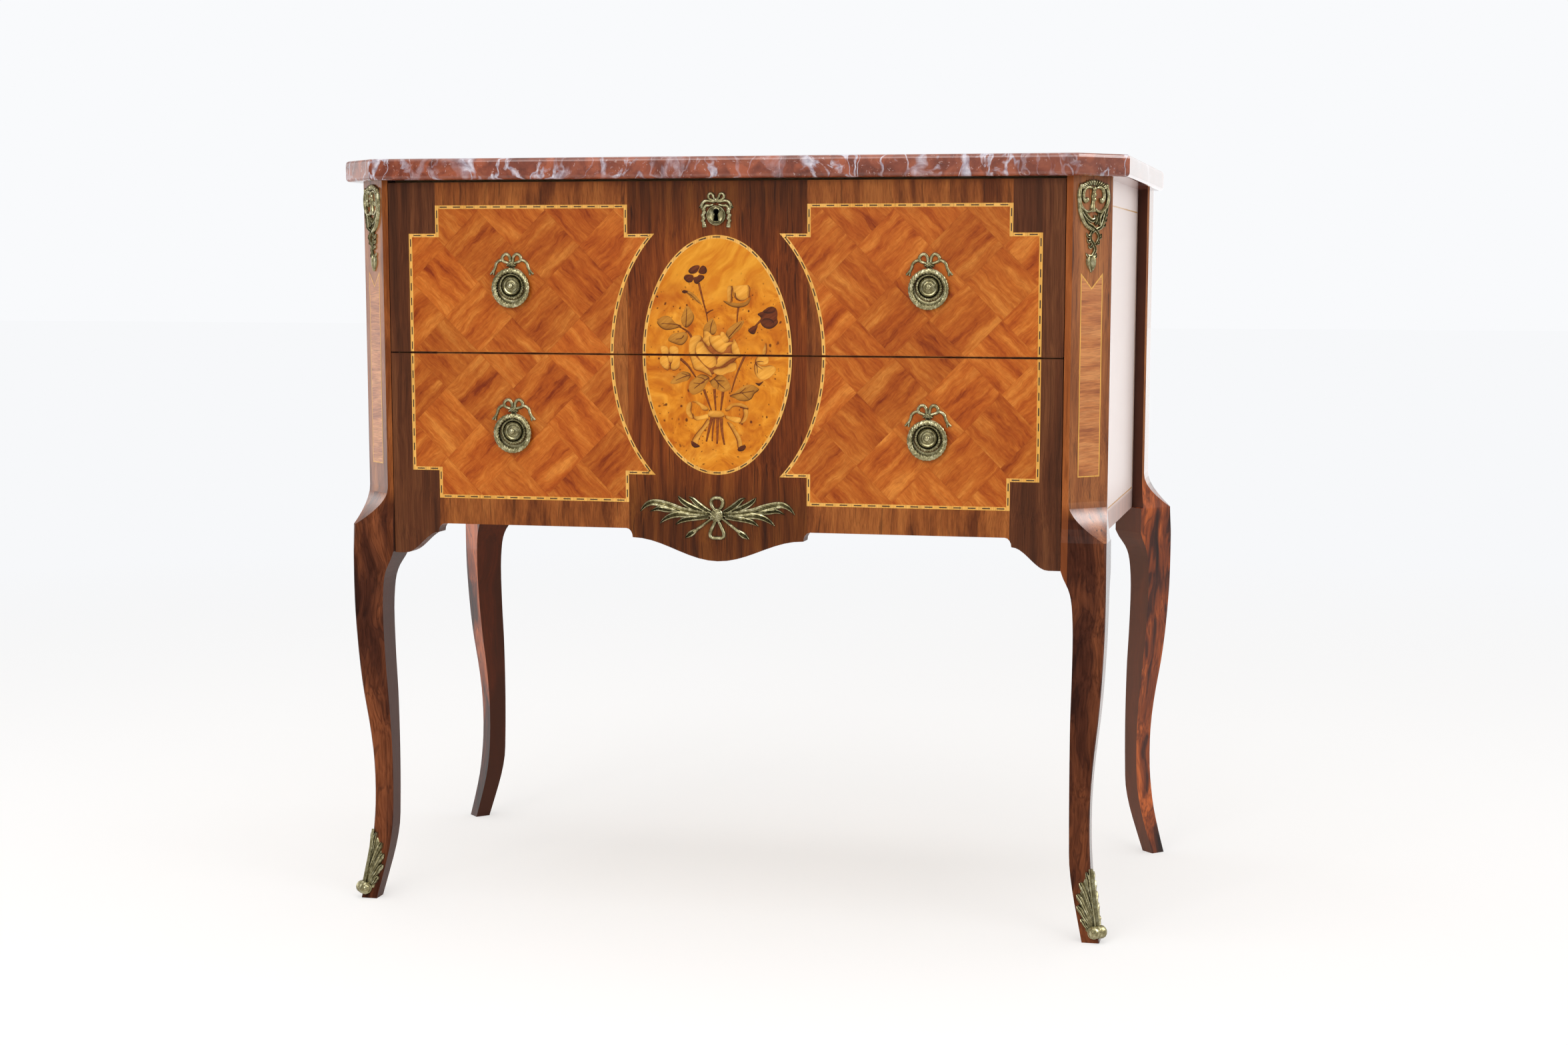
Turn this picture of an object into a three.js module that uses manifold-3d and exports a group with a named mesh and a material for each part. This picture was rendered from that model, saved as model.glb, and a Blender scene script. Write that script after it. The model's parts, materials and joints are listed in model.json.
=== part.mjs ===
// A two-drawer commode chest: marble slab, faceted posts on cabriole legs, bronze mounts.
// Lengths are millimetres. The drawer fronts face -Y, +X is to the viewer's right and the feet stand on z = 0.
import * as THREE from 'three'
import { mergeVertices } from 'three/addons/utils/BufferGeometryUtils.js'
import Module from 'manifold-3d'

const wasm = await Module()
wasm.setup()

// Overall sizes
const slabWidth = 837
const slabDepth = 460
const totalHeight = 800
const slabThickness = 22
const slabOverhang = 17
const slabEdgeRound = 4

// Clearances
const gap = 0.3
const drawerFrontGap = 0.8
const drawerSideGap = 2.5
const drawerTopGap = 2.2
const drawerBetweenGap = 2.4
const drawerBoxTopGap = 2.7
const railSetback = 2
const lockTopGap = 2.4
const ringRosetteGap = 0.9
const ringPlateGap = 0.6
const neckGap = 0.5
const cutOverrun = 5

// Posts and legs
const postWidth = 42
const postDepth = 38
const postFacet = 35.5
const rearPostSize = 38.5
const rearFacetStep = 5.5
const kneeHeight = 411
const flareHeight = 42
const kneeSwell = 4.2
const legSweep = 9.4
const arrisFlat = 1
// Height as a share of the knee's height, inward offset as a share of the sweep, size as a share of the post's width
const legProfileShares = [
  [0, -0.42, 0.43], [0.065, 0.1, 0.46], [0.13, 0.55, 0.495], [0.19, 0.81, 0.52], [0.25, 0.97, 0.505],
  [0.33, 1, 0.51], [0.4, 0.88, 0.54], [0.48, 0.57, 0.605], [0.555, 0.19, 0.68], [0.63, -0.09, 0.72],
  [0.7, -0.27, 0.745], [0.776, -0.41, 0.77], [0.83, -0.45, 0.8], [0.865, -0.46, 0.84], [0.89, -0.46, 0.91],
  [0.915, -0.455, 1.03], [0.935, -0.447, 1.1],
]
const profileStepsPerRow = 2
const flareSteps = 6

// Case
const caseFloorHeight = 413
const sidePanelThickness = 18
const sidePanelRecess = 8.5
const backPanelThickness = 12
const bottomBoardRise = 4
const bottomBoardThickness = 11
const topRailThickness = 18
const topRailDepth = 48
const middleRailThickness = 16
const middleRailDepth = 42
const runnerThickness = 9
const runnerWidth = 30
const guideHeight = 20
const kickerWidth = 34

// Drawers, split at a share of the height between the case's floor and its top
const drawerSplitShare = 0.5066
const drawerFrontThickness = 20
const drawerRearGap = 31
const drawerSideThickness = 12
const drawerBackThickness = 11
const drawerBackDrop = 10
const drawerBottomThickness = 7
const drawerBottomRise = 6

// Shaped lower edge of the lower drawer front
const apronEdgeRise = 3
const apronStepHeight = 9.5
const apronStepRound = 7
const apronDropWidth = 198
const apronDropHeight = 32.5
const bracketWidth = 57
const bracketFlat = 12
const edgeSteps = 9
const roundSteps = 4

// Handles, each at a share of its drawer front's height
const handleSpread = 444
const upperHandleShare = 0.3915
const lowerHandleShare = 0.5535
const rosetteRadius = 13.3
const rosetteHeight = 4.6
const ringBand = 7.2
const ringDrop = 2.2
const ringThickness = 4.6
const pivotRadius = 1.1
const earWall = 0.8
const earWidth = 2.2
const neckWidth = 3
const bowThickness = 1.8
const bowWidth = 48
const bowHeight = 34
const knobRadius = 3
const knobHeight = 9
const boltRadius = 2
const nutRadius = 5
const nutThickness = 4

// Keyhole, escutcheon and lock
const keyholeDrop = 37.4
const keyholeRadius = 2.5
const keyholeSlotWidth = 4
const keyholeLength = 12
const escutcheonRadius = 9.9
const escutcheonThickness = 2.4
const escutcheonBowThickness = 1.6
const escutcheonWidth = 34.7
const escutcheonRise = 21.7
const lockWidth = 68
const lockHeight = 44
const lockThickness = 12
const lockBackThickness = 2
const lockBoltWidth = 26
const lockBoltThickness = 4
const lockBoltHeight = 30
const lockBoltTravel = 8
const mortiseSpare = 2

// Corner mounts, apron mount and sabots
const chuteTopDrop = 2.4
const chuteHeight = 92.3
const chuteWidth = 40
const chuteThickness = 4
const sprayWidth = 167
const sprayHeight = 45.5
const sprayDrop = 9.8
const sprayThickness = 5
const sabotBottom = 4
const sabotHeight = 71.5
const sabotReach = 13
const sabotThickness = 2.4
const scrollRadius = 3.6
const scrollLength = 12

// Faceting of round pieces
const latheSides = 20
const rodSides = 12
const ringSteps = 24
const ringSides = 6
const mergeTolerance = 0.0001

// Places that follow from the sizes above
const caseHalf = slabWidth / 2 - slabOverhang
const frontY = slabOverhang - slabDepth / 2
const backY = slabDepth / 2
const caseTop = totalHeight - slabThickness
const postInnerX = caseHalf - postWidth
const postBackY = frontY + postDepth
const panelOuterX = caseHalf - sidePanelRecess
const panelInnerX = panelOuterX - sidePanelThickness
const backPanelY = backY - backPanelThickness
const frontBackY = frontY + drawerFrontThickness
const railFrontY = frontBackY + railSetback
const bottomBoardBottom = caseFloorHeight + bottomBoardRise
const bottomBoardTop = bottomBoardBottom + bottomBoardThickness
const lowerRunTop = bottomBoardTop + runnerThickness
const drawerSplitHeight = THREE.MathUtils.lerp(caseFloorHeight, caseTop, drawerSplitShare)
const middleRailBottom = drawerSplitHeight - middleRailThickness / 2
const middleRailTop = drawerSplitHeight + middleRailThickness / 2
const topRailBottom = caseTop - topRailThickness
const apronEdgeHeight = caseFloorHeight + apronEdgeRise
const upperFrontBottom = drawerSplitHeight + drawerBetweenGap / 2
const upperFrontTop = caseTop - drawerTopGap
const lowerFrontTop = drawerSplitHeight - drawerBetweenGap / 2
const upperHandleHeight = THREE.MathUtils.lerp(upperFrontBottom, upperFrontTop, upperHandleShare)
const lowerHandleHeight = THREE.MathUtils.lerp(apronEdgeHeight, lowerFrontTop, lowerHandleShare)
const keyholeHeight = caseTop - keyholeDrop
const drawerFrontHalf = postInnerX - drawerFrontGap
const drawerHalf = postInnerX - drawerSideGap

// The rear posts are turned 45 degrees: their outer corner, before the facet is cut, points to the side
const facetHalf = postFacet / Math.SQRT2
const rearCornerX = caseHalf + rearFacetStep + facetHalf
const rearCornerY = backY - facetHalf
const rearInnerX = rearCornerX - rearPostSize * Math.SQRT2
const seatGap = gap * Math.SQRT2
const rearSeatY = (x) => rearCornerY + (rearInnerX - x) - seatGap
const rearSeatX = (y) => rearInnerX + (y - rearCornerY) - seatGap
const boardBackX = Math.min(panelInnerX, rearInnerX - gap)

// Finishes
const finish = (color, roughness, metalness) => new THREE.MeshStandardMaterial({ color, roughness, metalness })
const rosewood = finish(0x4f2a1a, 0.3, 0)
const redMarble = finish(0x7c3a2c, 0.12, 0)
const pine = finish(0xb08a5c, 0.75, 0)
const stainedPine = finish(0x6b3322, 0.65, 0)
const bronze = finish(0x96915f, 0.38, 1)
const iron = finish(0x4a4744, 0.55, 1)

// A named piece in a group
function add(group, name, geometry, material) {
  const faceted = geometry.index ? geometry.toNonIndexed() : geometry.clone()
  faceted.computeVertexNormals()
  const mesh = new THREE.Mesh(faceted, material.clone())
  mesh.name = name
  group.add(mesh)
  return mesh
}

// The right-hand piece and its mirror image
function addPair(group, name, geometry, material) {
  add(group, `${name}_right`, geometry, material)
  add(group, `${name}_left`, mirrored(geometry), material)
}

// A copy reflected in the plane x = 0, with its faces still pointing out
function mirrored(geometry) {
  const copy = geometry.index ? geometry.toNonIndexed() : geometry.clone()
  copy.deleteAttribute('normal')
  copy.scale(-1, 1, 1)
  const place = copy.attributes.position
  for (let corner = 0; corner < place.count; corner += 3) {
    const second = new THREE.Vector3().fromBufferAttribute(place, corner + 1)
    const third = new THREE.Vector3().fromBufferAttribute(place, corner + 2)
    place.setXYZ(corner + 1, third.x, third.y, third.z)
    place.setXYZ(corner + 2, second.x, second.y, second.z)
  }
  return copy
}

// Joining and cutting of closed meshes
function solidOf(geometry) {
  const bare = geometry.clone()
  bare.deleteAttribute('normal')
  bare.deleteAttribute('uv')
  const merged = mergeVertices(bare, mergeTolerance)
  const vertProperties = new Float32Array(merged.attributes.position.array)
  const triVerts = new Uint32Array(merged.index.array)
  return new wasm.Manifold(new wasm.Mesh({ numProp: 3, vertProperties, triVerts }))
}

function geometryOf(solid) {
  const { vertProperties, triVerts } = solid.getMesh()
  const geometry = new THREE.BufferGeometry()
  geometry.setAttribute('position', new THREE.BufferAttribute(new Float32Array(vertProperties), 3))
  geometry.setIndex(new THREE.BufferAttribute(new Uint32Array(triVerts), 1))
  return geometry
}

function joined(...pieces) {
  return geometryOf(pieces.map(solidOf).reduce((whole, piece) => whole.add(piece)))
}

function cut(body, ...tools) {
  return geometryOf(tools.map(solidOf).reduce((whole, tool) => whole.subtract(tool), solidOf(body)))
}

// A box between two opposite corners
function block(low, high) {
  const size = high.map((value, axis) => value - low[axis])
  const centre = high.map((value, axis) => (value + low[axis]) / 2)
  return new THREE.BoxGeometry(...size).translate(...centre)
}

const outlineOf = (points) => new THREE.Shape(points.map(([x, y]) => new THREE.Vector2(x, y)))

// A board whose plan is alike on both sides of x = 0, from the right half of its outline
function symmetricBoard(halfPlan, bottom, top) {
  const leftHalf = halfPlan.map(([x, y]) => [-x, y]).reverse()
  return uprightPrism([...halfPlan, ...leftHalf], bottom, top)
}

function uprightPrism(plan, bottom, top) {
  const options = { depth: top - bottom, bevelEnabled: false }
  return new THREE.ExtrudeGeometry(outlineOf(plan), options).translate(0, 0, bottom)
}

// A shape of x and z whose back stands on the plane y = back, and which comes forward by a thickness
function plate(shape, back, thickness) {
  const options = { depth: thickness, bevelEnabled: false, curveSegments: edgeSteps }
  return new THREE.ExtrudeGeometry(shape, options).rotateX(Math.PI / 2).translate(0, back, 0)
}

// A round bar along x
function crossRod(radius, fromX, toX, y, z) {
  return new THREE.CylinderGeometry(radius, radius, toX - fromX, rodSides)
    .rotateZ(Math.PI / 2)
    .translate((fromX + toX) / 2, y, z)
}

// A turned piece whose axis comes forward, from points of radius and height above the plane y = 0
function turned(profile) {
  const points = profile.map(([radius, height]) => new THREE.Vector2(radius, height))
  return new THREE.LatheGeometry(points, latheSides).rotateX(Math.PI)
}

// Closed rings of points, joined from the lowest to the highest; each end is a fan from the ring's first point
function loft(rings) {
  const count = rings[0].length
  const triangles = []
  for (let ring = 0; ring + 1 < rings.length; ring += 1) {
    for (let side = 0; side < count; side += 1) {
      const a = ring * count + side
      const b = ring * count + ((side + 1) % count)
      triangles.push(a, b, b + count, a, b + count, a + count)
    }
  }
  const last = (rings.length - 1) * count
  for (let side = 1; side + 1 < count; side += 1) {
    triangles.push(0, side + 1, side)
    triangles.push(last, last + side, last + side + 1)
  }
  const geometry = new THREE.BufferGeometry()
  geometry.setAttribute('position', new THREE.Float32BufferAttribute(rings.flat(2), 3))
  geometry.setIndex(triangles)
  return geometry
}

function makeSlab() {
  const half = slabWidth / 2
  const cant = postFacet + slabOverhang * (2 - Math.SQRT2)
  const shape = outlineOf([
    [-half, backY], [-half, -backY + cant], [-half + cant, -backY],
    [half - cant, -backY], [half, -backY + cant], [half, backY],
  ])
  const options = {
    depth: slabThickness - 2 * slabEdgeRound,
    bevelThickness: slabEdgeRound,
    bevelSize: slabEdgeRound,
    bevelOffset: -slabEdgeRound,
    bevelSegments: roundSteps,
  }
  return new THREE.ExtrudeGeometry(shape, options).translate(0, 0, caseTop + slabEdgeRound)
}

// Sections of the leg up to the floor of the case: height, offset of the outer corner, facet and size
function legSections() {
  const curve = new THREE.CatmullRomCurve3(legProfileShares.map(([height, offset, size]) =>
    new THREE.Vector3(offset * legSweep, size * postWidth, height * kneeHeight)))
  const steps = (legProfileShares.length - 1) * profileStepsPerRow
  const swept = Array.from({ length: steps + 1 }, (_, step) => {
    const point = curve.getPoint(step / steps)
    return { height: point.z, offset: point.x, facet: arrisFlat, size: point.y }
  })
  const ledge = caseFloorHeight - gap
  const top = flareSection(ledge)
  return [...swept, { ...top, height: kneeHeight, size: postWidth + top.swell }, { ...top, size: postWidth + top.swell }]
}

// The post swells towards the knee, and its facet narrows to the arris of the leg
function flareSection(height) {
  const rise = THREE.MathUtils.clamp((height - kneeHeight) / flareHeight, 0, 1)
  const swell = kneeSwell * (1 - rise) ** 2
  const facet = Math.max(arrisFlat, postFacet * Math.sin((rise * Math.PI) / 2))
  return { height, offset: -swell, facet, swell }
}

function postSections() {
  const flare = Array.from({ length: flareSteps + 1 }, (_, step) => {
    const height = THREE.MathUtils.lerp(caseFloorHeight, kneeHeight + flareHeight, step / flareSteps)
    return flareSection(height)
  })
  return [...flare, flareSection(caseTop)]
}

// A rectangular section with its outer corner cut off
function postRing({ height, offset, facet }, width, depth, place) {
  return [
    [offset, offset + depth], [offset + width, offset + depth], [offset + width, offset],
    [offset + facet, offset], [offset, offset + facet],
  ].map(([across, along]) => [...place(across, along), height])
}

function makePost(width, depth, place) {
  return loft([
    ...legSections().map((section) => postRing(section, section.size, section.size, place)),
    ...postSections().map((section) => postRing(section, width + section.swell, depth + section.swell, place)),
  ])
}

const frontCorner = (across, along) => [caseHalf - across, frontY + along]
const rearCorner = (across, along) => [
  rearCornerX - (across + along) / Math.SQRT2,
  rearCornerY + (along - across) / Math.SQRT2,
]

function makeRearPost() {
  const behind = block(
    [0, backY, -cutOverrun],
    [rearCornerX + rearPostSize, backY + rearPostSize, totalHeight],
  )
  return cut(makePost(rearPostSize, rearPostSize, rearCorner), behind)
}

function makeSidePanel() {
  return uprightPrism([
    [panelInnerX, postBackY], [panelOuterX, postBackY],
    [panelOuterX, rearSeatY(panelOuterX)], [panelInnerX, rearSeatY(panelInnerX)],
  ], caseFloorHeight, caseTop)
}

function makeBackPanel() {
  return symmetricBoard(
    [[rearSeatX(backPanelY), backPanelY], [rearSeatX(backY), backY]],
    caseFloorHeight,
    caseTop,
  )
}

// Half plans of boards: notched round the front post, and running back past the rear post
const notchedFront = (front) => [
  [postInnerX - gap, front], [postInnerX - gap, postBackY + gap], [panelInnerX, postBackY + gap],
]
const notchedBack = (back) => (boardBackX < panelInnerX
  ? [[panelInnerX, rearSeatY(panelInnerX)], [boardBackX, rearSeatY(boardBackX)], [boardBackX, back]]
  : [[panelInnerX, back]])

function makeFrontRail(depth, bottom, top) {
  return symmetricBoard([...notchedFront(railFrontY), [panelInnerX, railFrontY + depth]], bottom, top)
}

function makeTopFrontRail() {
  const mortise = block(
    [-lockBoltWidth / 2 - gap, lockBoltY - gap, topRailBottom - cutOverrun],
    [lockBoltWidth / 2 + gap, lockBoltY + lockBoltThickness + gap, lockTop + lockBoltTravel + mortiseSpare],
  )
  return cut(makeFrontRail(topRailDepth, topRailBottom, caseTop), mortise)
}

function makeTopBackRail() {
  const front = backPanelY - topRailDepth
  return symmetricBoard([[panelInnerX, front], ...notchedBack(backPanelY)], topRailBottom, caseTop)
}

function makeBottomBoard() {
  const plan = [...notchedFront(railFrontY), ...notchedBack(backPanelY)]
  return symmetricBoard(plan, bottomBoardBottom, bottomBoardTop)
}

// A runner under a drawer's side and the guide that keeps the drawer straight
function addRunners(name, front, top) {
  const back = rearSeatY(panelInnerX)
  const inner = panelInnerX - runnerWidth
  addPair(caseGroup, `${name}_runner`, block([inner, front, top - runnerThickness], [panelInnerX, back, top]), pine)
  addPair(caseGroup, `${name}_guide`, block(
    [postInnerX, Math.max(front, postBackY + gap), top],
    [panelInnerX, back, top + guideHeight],
  ), pine)
}

// The right half of the lower drawer front's bottom edge, from its centre out
function lowerEdge() {
  const shelf = apronEdgeHeight - apronStepHeight
  const lowest = apronEdgeHeight - apronDropHeight
  const dropHalf = apronDropWidth / 2
  const bracketStart = drawerFrontHalf - bracketWidth
  const wave = (from, to, share) => [
    THREE.MathUtils.lerp(from[0], to[0], share),
    THREE.MathUtils.lerp(from[1], to[1], (1 - Math.cos(Math.PI * share)) / 2),
  ]
  const cove = (x, reach, turn) => [x + reach * Math.cos(turn), shelf + apronStepHeight * Math.sin(turn)]
  const points = []
  for (let step = 0; step < edgeSteps; step += 1) {
    points.push(wave([0, lowest], [dropHalf - apronStepRound, shelf], step / edgeSteps))
  }
  for (let step = 0; step <= roundSteps; step += 1) {
    points.push(cove(dropHalf, -apronStepRound, (Math.PI / 2) * (step / roundSteps)))
  }
  for (let step = roundSteps; step > 0; step -= 1) {
    points.push(cove(bracketStart, apronStepRound, (Math.PI / 2) * (step / roundSteps)))
  }
  for (let step = 0; step <= edgeSteps; step += 1) {
    const start = [bracketStart + apronStepRound, shelf]
    points.push(wave(start, [drawerFrontHalf - bracketFlat, lowest], step / edgeSteps))
  }
  return [...points, [drawerFrontHalf, lowest]]
}

function keyholePath() {
  const slotHalf = keyholeSlotWidth / 2
  const bottom = keyholeHeight - keyholeLength / 2
  const meeting = Math.asin(slotHalf / keyholeRadius)
  const path = new THREE.Path()
  path.moveTo(-slotHalf, bottom)
  path.lineTo(slotHalf, bottom)
  path.absarc(0, bottom + keyholeLength - keyholeRadius, keyholeRadius, meeting - Math.PI / 2, 1.5 * Math.PI - meeting)
  return path
}

function roundHole(x, z, radius) {
  const path = new THREE.Path()
  path.absarc(x, z, radius, 0, 2 * Math.PI)
  return path
}

const handleX = handleSpread / 2
const boltHoles = (height) => [-handleX, handleX].map((x) => roundHole(x, height, boltRadius + gap))

function makeUpperFront() {
  const half = drawerFrontHalf
  const shape = outlineOf([
    [-half, upperFrontBottom], [half, upperFrontBottom], [half, upperFrontTop], [-half, upperFrontTop],
  ])
  shape.holes.push(keyholePath(), ...boltHoles(upperHandleHeight))
  return plate(shape, frontBackY, drawerFrontThickness)
}

function makeLowerFront() {
  const right = [...lowerEdge(), [drawerFrontHalf, lowerFrontTop]]
  const left = right.slice(1).map(([x, z]) => [-x, z]).reverse()
  const shape = outlineOf([...left, ...right])
  shape.holes.push(...boltHoles(lowerHandleHeight))
  return plate(shape, frontBackY, drawerFrontThickness)
}

// The four boards behind a drawer's front
function addDrawerBox(group, name, runTop, ceiling) {
  const bottom = runTop + gap
  const top = ceiling - drawerBoxTopGap
  const back = backPanelY - drawerRearGap
  const inner = drawerHalf - drawerSideThickness
  const boardBottom = bottom + drawerBottomRise
  const boardTop = boardBottom + drawerBottomThickness
  addPair(group, `${name}_side`, block([inner, frontBackY, bottom], [drawerHalf, back, top]), pine)
  add(group, `${name}_back`, block(
    [-inner, back - drawerBackThickness, boardTop],
    [inner, back, top - drawerBackDrop],
  ), pine)
  add(group, `${name}_bottom`, block([-inner, frontBackY, boardBottom], [inner, back, boardTop]), pine)
}

// An outline alike on both sides of x = 0: shares of a width and of a height above a base, from the top down.
// It runs anticlockwise, so its holes may run either way.
function shareOutline(halfShares, width, height, base) {
  const right = halfShares.map(([x, z]) => [x * width, base + z * height]).reverse()
  const left = right.filter(([x]) => x > 0).map(([x, z]) => [-x, z]).reverse()
  return outlineOf([...right, ...left])
}

function sharePath(shares, width, height, base) {
  return new THREE.Path(shares.map(([x, z]) => new THREE.Vector2(x * width, base + z * height)))
}

// Places on a handle, measured from its rosette's centre on the face of the drawer
const ringInner = rosetteRadius + ringRosetteGap
const ringOuter = ringInner + ringBand
const earRadius = pivotRadius + gap + earWall
const pivotRise = ringOuter - ringDrop + gap + earRadius
const ringBack = bowThickness + ringPlateGap
// The pin is in line with the weight of the half-round ring, so the ring hangs straight
const pivotY = -ringBack - (4 / (3 * Math.PI)) * ringThickness
const earInner = neckWidth / 2 + neckGap
const earOuter = earInner + earWidth

// Rosette: radius as a share of its radius, height as a share of its height
const rosetteRimShares = [[1, 0], [1, 0.6], [0.87, 1], [0.72, 0.8], [0.63, 0.85], [0.54, 0.48]]
const bowShares = [
  [0, 0.9], [0.07, 1], [0.13, 1], [0.28, 0.79], [0.4, 0.67], [0.46, 0.48], [0.5, 0.38], [0.44, 0.33],
  [0.38, 0.5], [0.33, 0.6], [0.24, 0.66], [0.13, 0.6], [0.115, 0.3],
]
const bowLoopShares = [[0.05, 0.84], [0.08, 0.91], [0.13, 0.91], [0.21, 0.79], [0.12, 0.74], [0.055, 0.75]]
const knobShares = [[1, 0.7], [0.75, 0.92]]

const dishHeight = rosetteRimShares.at(-1)[1] * rosetteHeight

// Backplate: a dished rosette, a ribbon bow above it and two ears for the ring's pin
function makeHandlePlate() {
  const bore = boltRadius + gap
  const rim = rosetteRimShares.map(([radius, height]) => [radius * rosetteRadius, height * rosetteHeight])
  const rosette = turned([[bore, 0], ...rim, [bore, dishHeight], [bore, 0]])
  const shape = shareOutline(bowShares, bowWidth, bowHeight, 0)
  const loops = [bowWidth, -bowWidth].map((width) => sharePath(bowLoopShares, width, bowHeight, 0))
  shape.holes.push(...loops)
  const ears = [[earInner, earOuter], [-earOuter, -earInner]].flatMap(([from, to]) => [
    crossRod(earRadius, from, to, pivotY, pivotRise),
    block([from, pivotY, pivotRise - earRadius], [to, -bowThickness / 2, pivotRise + earRadius]),
  ])
  const pinHole = crossRod(pivotRadius + gap, -bowWidth, bowWidth, pivotY, pivotRise)
  return cut(joined(rosette, plate(shape, 0, bowThickness), ...ears), pinHole)
}

// Ring bail: half round, deepest at the bottom, with a neck and a pin at the top
function makeHandleRing() {
  const rings = Array.from({ length: ringSteps }, (_, step) => {
    const angle = (2 * Math.PI * step) / ringSteps
    const outer = Math.sqrt(ringOuter ** 2 - (ringDrop * Math.cos(angle)) ** 2) - ringDrop * Math.sin(angle)
    return Array.from({ length: ringSides }, (__, side) => {
      const turn = (Math.PI * side) / (ringSides - 1)
      const radius = (outer + ringInner) / 2 + ((outer - ringInner) / 2) * Math.cos(turn)
      return [radius * Math.cos(angle), -ringBack - ringThickness * Math.sin(turn), radius * Math.sin(angle)]
    })
  })
  const triangles = []
  for (let step = 0; step < ringSteps; step += 1) {
    const here = step * ringSides
    const there = ((step + 1) % ringSteps) * ringSides
    for (let side = 0; side < ringSides; side += 1) {
      const next = (side + 1) % ringSides
      triangles.push(here + side, there + next, here + next, here + side, there + side, there + next)
    }
  }
  const band = new THREE.BufferGeometry()
  band.setAttribute('position', new THREE.Float32BufferAttribute(rings.flat(2), 3))
  band.setIndex(triangles)
  const pin = crossRod(pivotRadius, -earOuter, earOuter, pivotY, pivotRise)
  const neck = block(
    [-neckWidth / 2, pivotY - pivotRadius, ringInner + ringBand / 2 - ringDrop],
    [neckWidth / 2, pivotY + pivotRadius, pivotRise],
  )
  return joined(band, pin, neck)
}

// Bolt: a domed knob in the rosette's dish and a shank through the drawer front
function makeHandleBolt() {
  const seat = dishHeight + gap
  const end = -drawerFrontThickness - nutThickness - gap
  const dome = knobShares.map(([radius, height]) => [radius * knobRadius, height * knobHeight])
  return turned([
    [0, end], [boltRadius, end], [boltRadius, seat], [knobRadius, seat], ...dome, [0, knobHeight],
  ])
}

function makeHandleNut() {
  const corners = Array.from({ length: 6 }, (_, side) => (Math.PI * side) / 3)
  const shape = outlineOf(corners.map((angle) => [nutRadius * Math.cos(angle), nutRadius * Math.sin(angle)]))
  shape.holes.push(roundHole(0, 0, boltRadius + gap))
  return plate(shape, drawerFrontThickness + nutThickness, nutThickness)
}

function addHandle(drawer, name, x, z) {
  const handle = new THREE.Group()
  handle.position.set(x, frontY, z)
  add(handle, `${name}_plate`, makeHandlePlate(), bronze)
  add(handle, `${name}_ring`, makeHandleRing(), bronze)
  add(handle, `${name}_bolt`, makeHandleBolt(), bronze)
  add(handle, `${name}_nut`, makeHandleNut(), iron)
  drawer.add(handle)
}

function addHandles(drawer, name, height) {
  addHandle(drawer, `${name}_handle_left`, -handleX, height)
  addHandle(drawer, `${name}_handle_right`, handleX, height)
}

// Escutcheon: width and height shares are measured from the keyhole's centre to the top of the bow
const escutcheonShares = [
  [0, 0.88], [0.06, 0.92], [0.12, 1], [0.19, 0.9], [0.2, 0.75], [0.31, 0.68], [0.38, 0.48], [0.5, 0.35],
  [0.42, 0.18], [0.44, -0.2], [0.4, -0.56], [0.31, -0.5], [0.3, -0.25], [0.2, -0.3],
]

const keyholeTool = (back, thickness) => plate(new THREE.Shape(keyholePath().getPoints(edgeSteps)), back, thickness)

function makeEscutcheon() {
  const disc = new THREE.Shape()
  disc.absarc(0, keyholeHeight, escutcheonRadius, 0, 2 * Math.PI)
  const bow = shareOutline(escutcheonShares, escutcheonWidth, escutcheonRise, keyholeHeight)
  const body = joined(plate(bow, frontY, escutcheonBowThickness), plate(disc, frontY, escutcheonThickness))
  return cut(body, keyholeTool(frontY + cutOverrun, escutcheonThickness + 2 * cutOverrun))
}

// Lock on the back of the upper drawer front, with a bolt that rises into the top rail
const lockTop = topRailBottom - lockTopGap
const lockBackY = frontBackY + lockThickness
const lockBoltY = lockBackY - lockBackThickness - lockBoltThickness

function makeLockCase() {
  const half = lockBoltWidth / 2 + gap
  const body = block([-lockWidth / 2, frontBackY, lockTop - lockHeight], [lockWidth / 2, lockBackY, lockTop])
  const slot = block(
    [-half, lockBoltY - gap, lockTop - lockBoltHeight - gap],
    [half, lockBoltY + lockBoltThickness + gap, lockTop + cutOverrun],
  )
  return cut(body, slot, keyholeTool(lockBoltY, lockThickness))
}

function makeLockBolt() {
  return block(
    [-lockBoltWidth / 2, lockBoltY, lockTop - lockBoltHeight],
    [lockBoltWidth / 2, lockBoltY + lockBoltThickness, lockTop],
  )
}

// Openwork corner mount, in shares of its width and height above its lower tip
const chuteShares = [
  [0, 1], [0.2, 1], [0.42, 0.95], [0.5, 0.82], [0.48, 0.68], [0.42, 0.52], [0.3, 0.42], [0.2, 0.36],
  [0.16, 0.2], [0.18, 0.1], [0.08, 0.02], [0, 0],
]
const chuteOpeningShares = [[0.1, 0.86], [0.3, 0.88], [0.36, 0.76], [0.28, 0.64], [0.1, 0.66]]

function addCornerMount(name, side) {
  const shape = shareOutline(chuteShares, chuteWidth, chuteHeight, 0)
  const openings = [chuteWidth, -chuteWidth].map((width) => sharePath(chuteOpeningShares, width, chuteHeight, 0))
  shape.holes.push(...openings)
  const mesh = add(caseGroup, name, plate(shape, -gap, chuteThickness), bronze)
  mesh.rotation.z = (side * Math.PI) / 4
  const base = caseTop - chuteTopDrop - chuteHeight
  mesh.position.set(side * (caseHalf - postFacet / 2), frontY + postFacet / 2, base)
}

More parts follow.
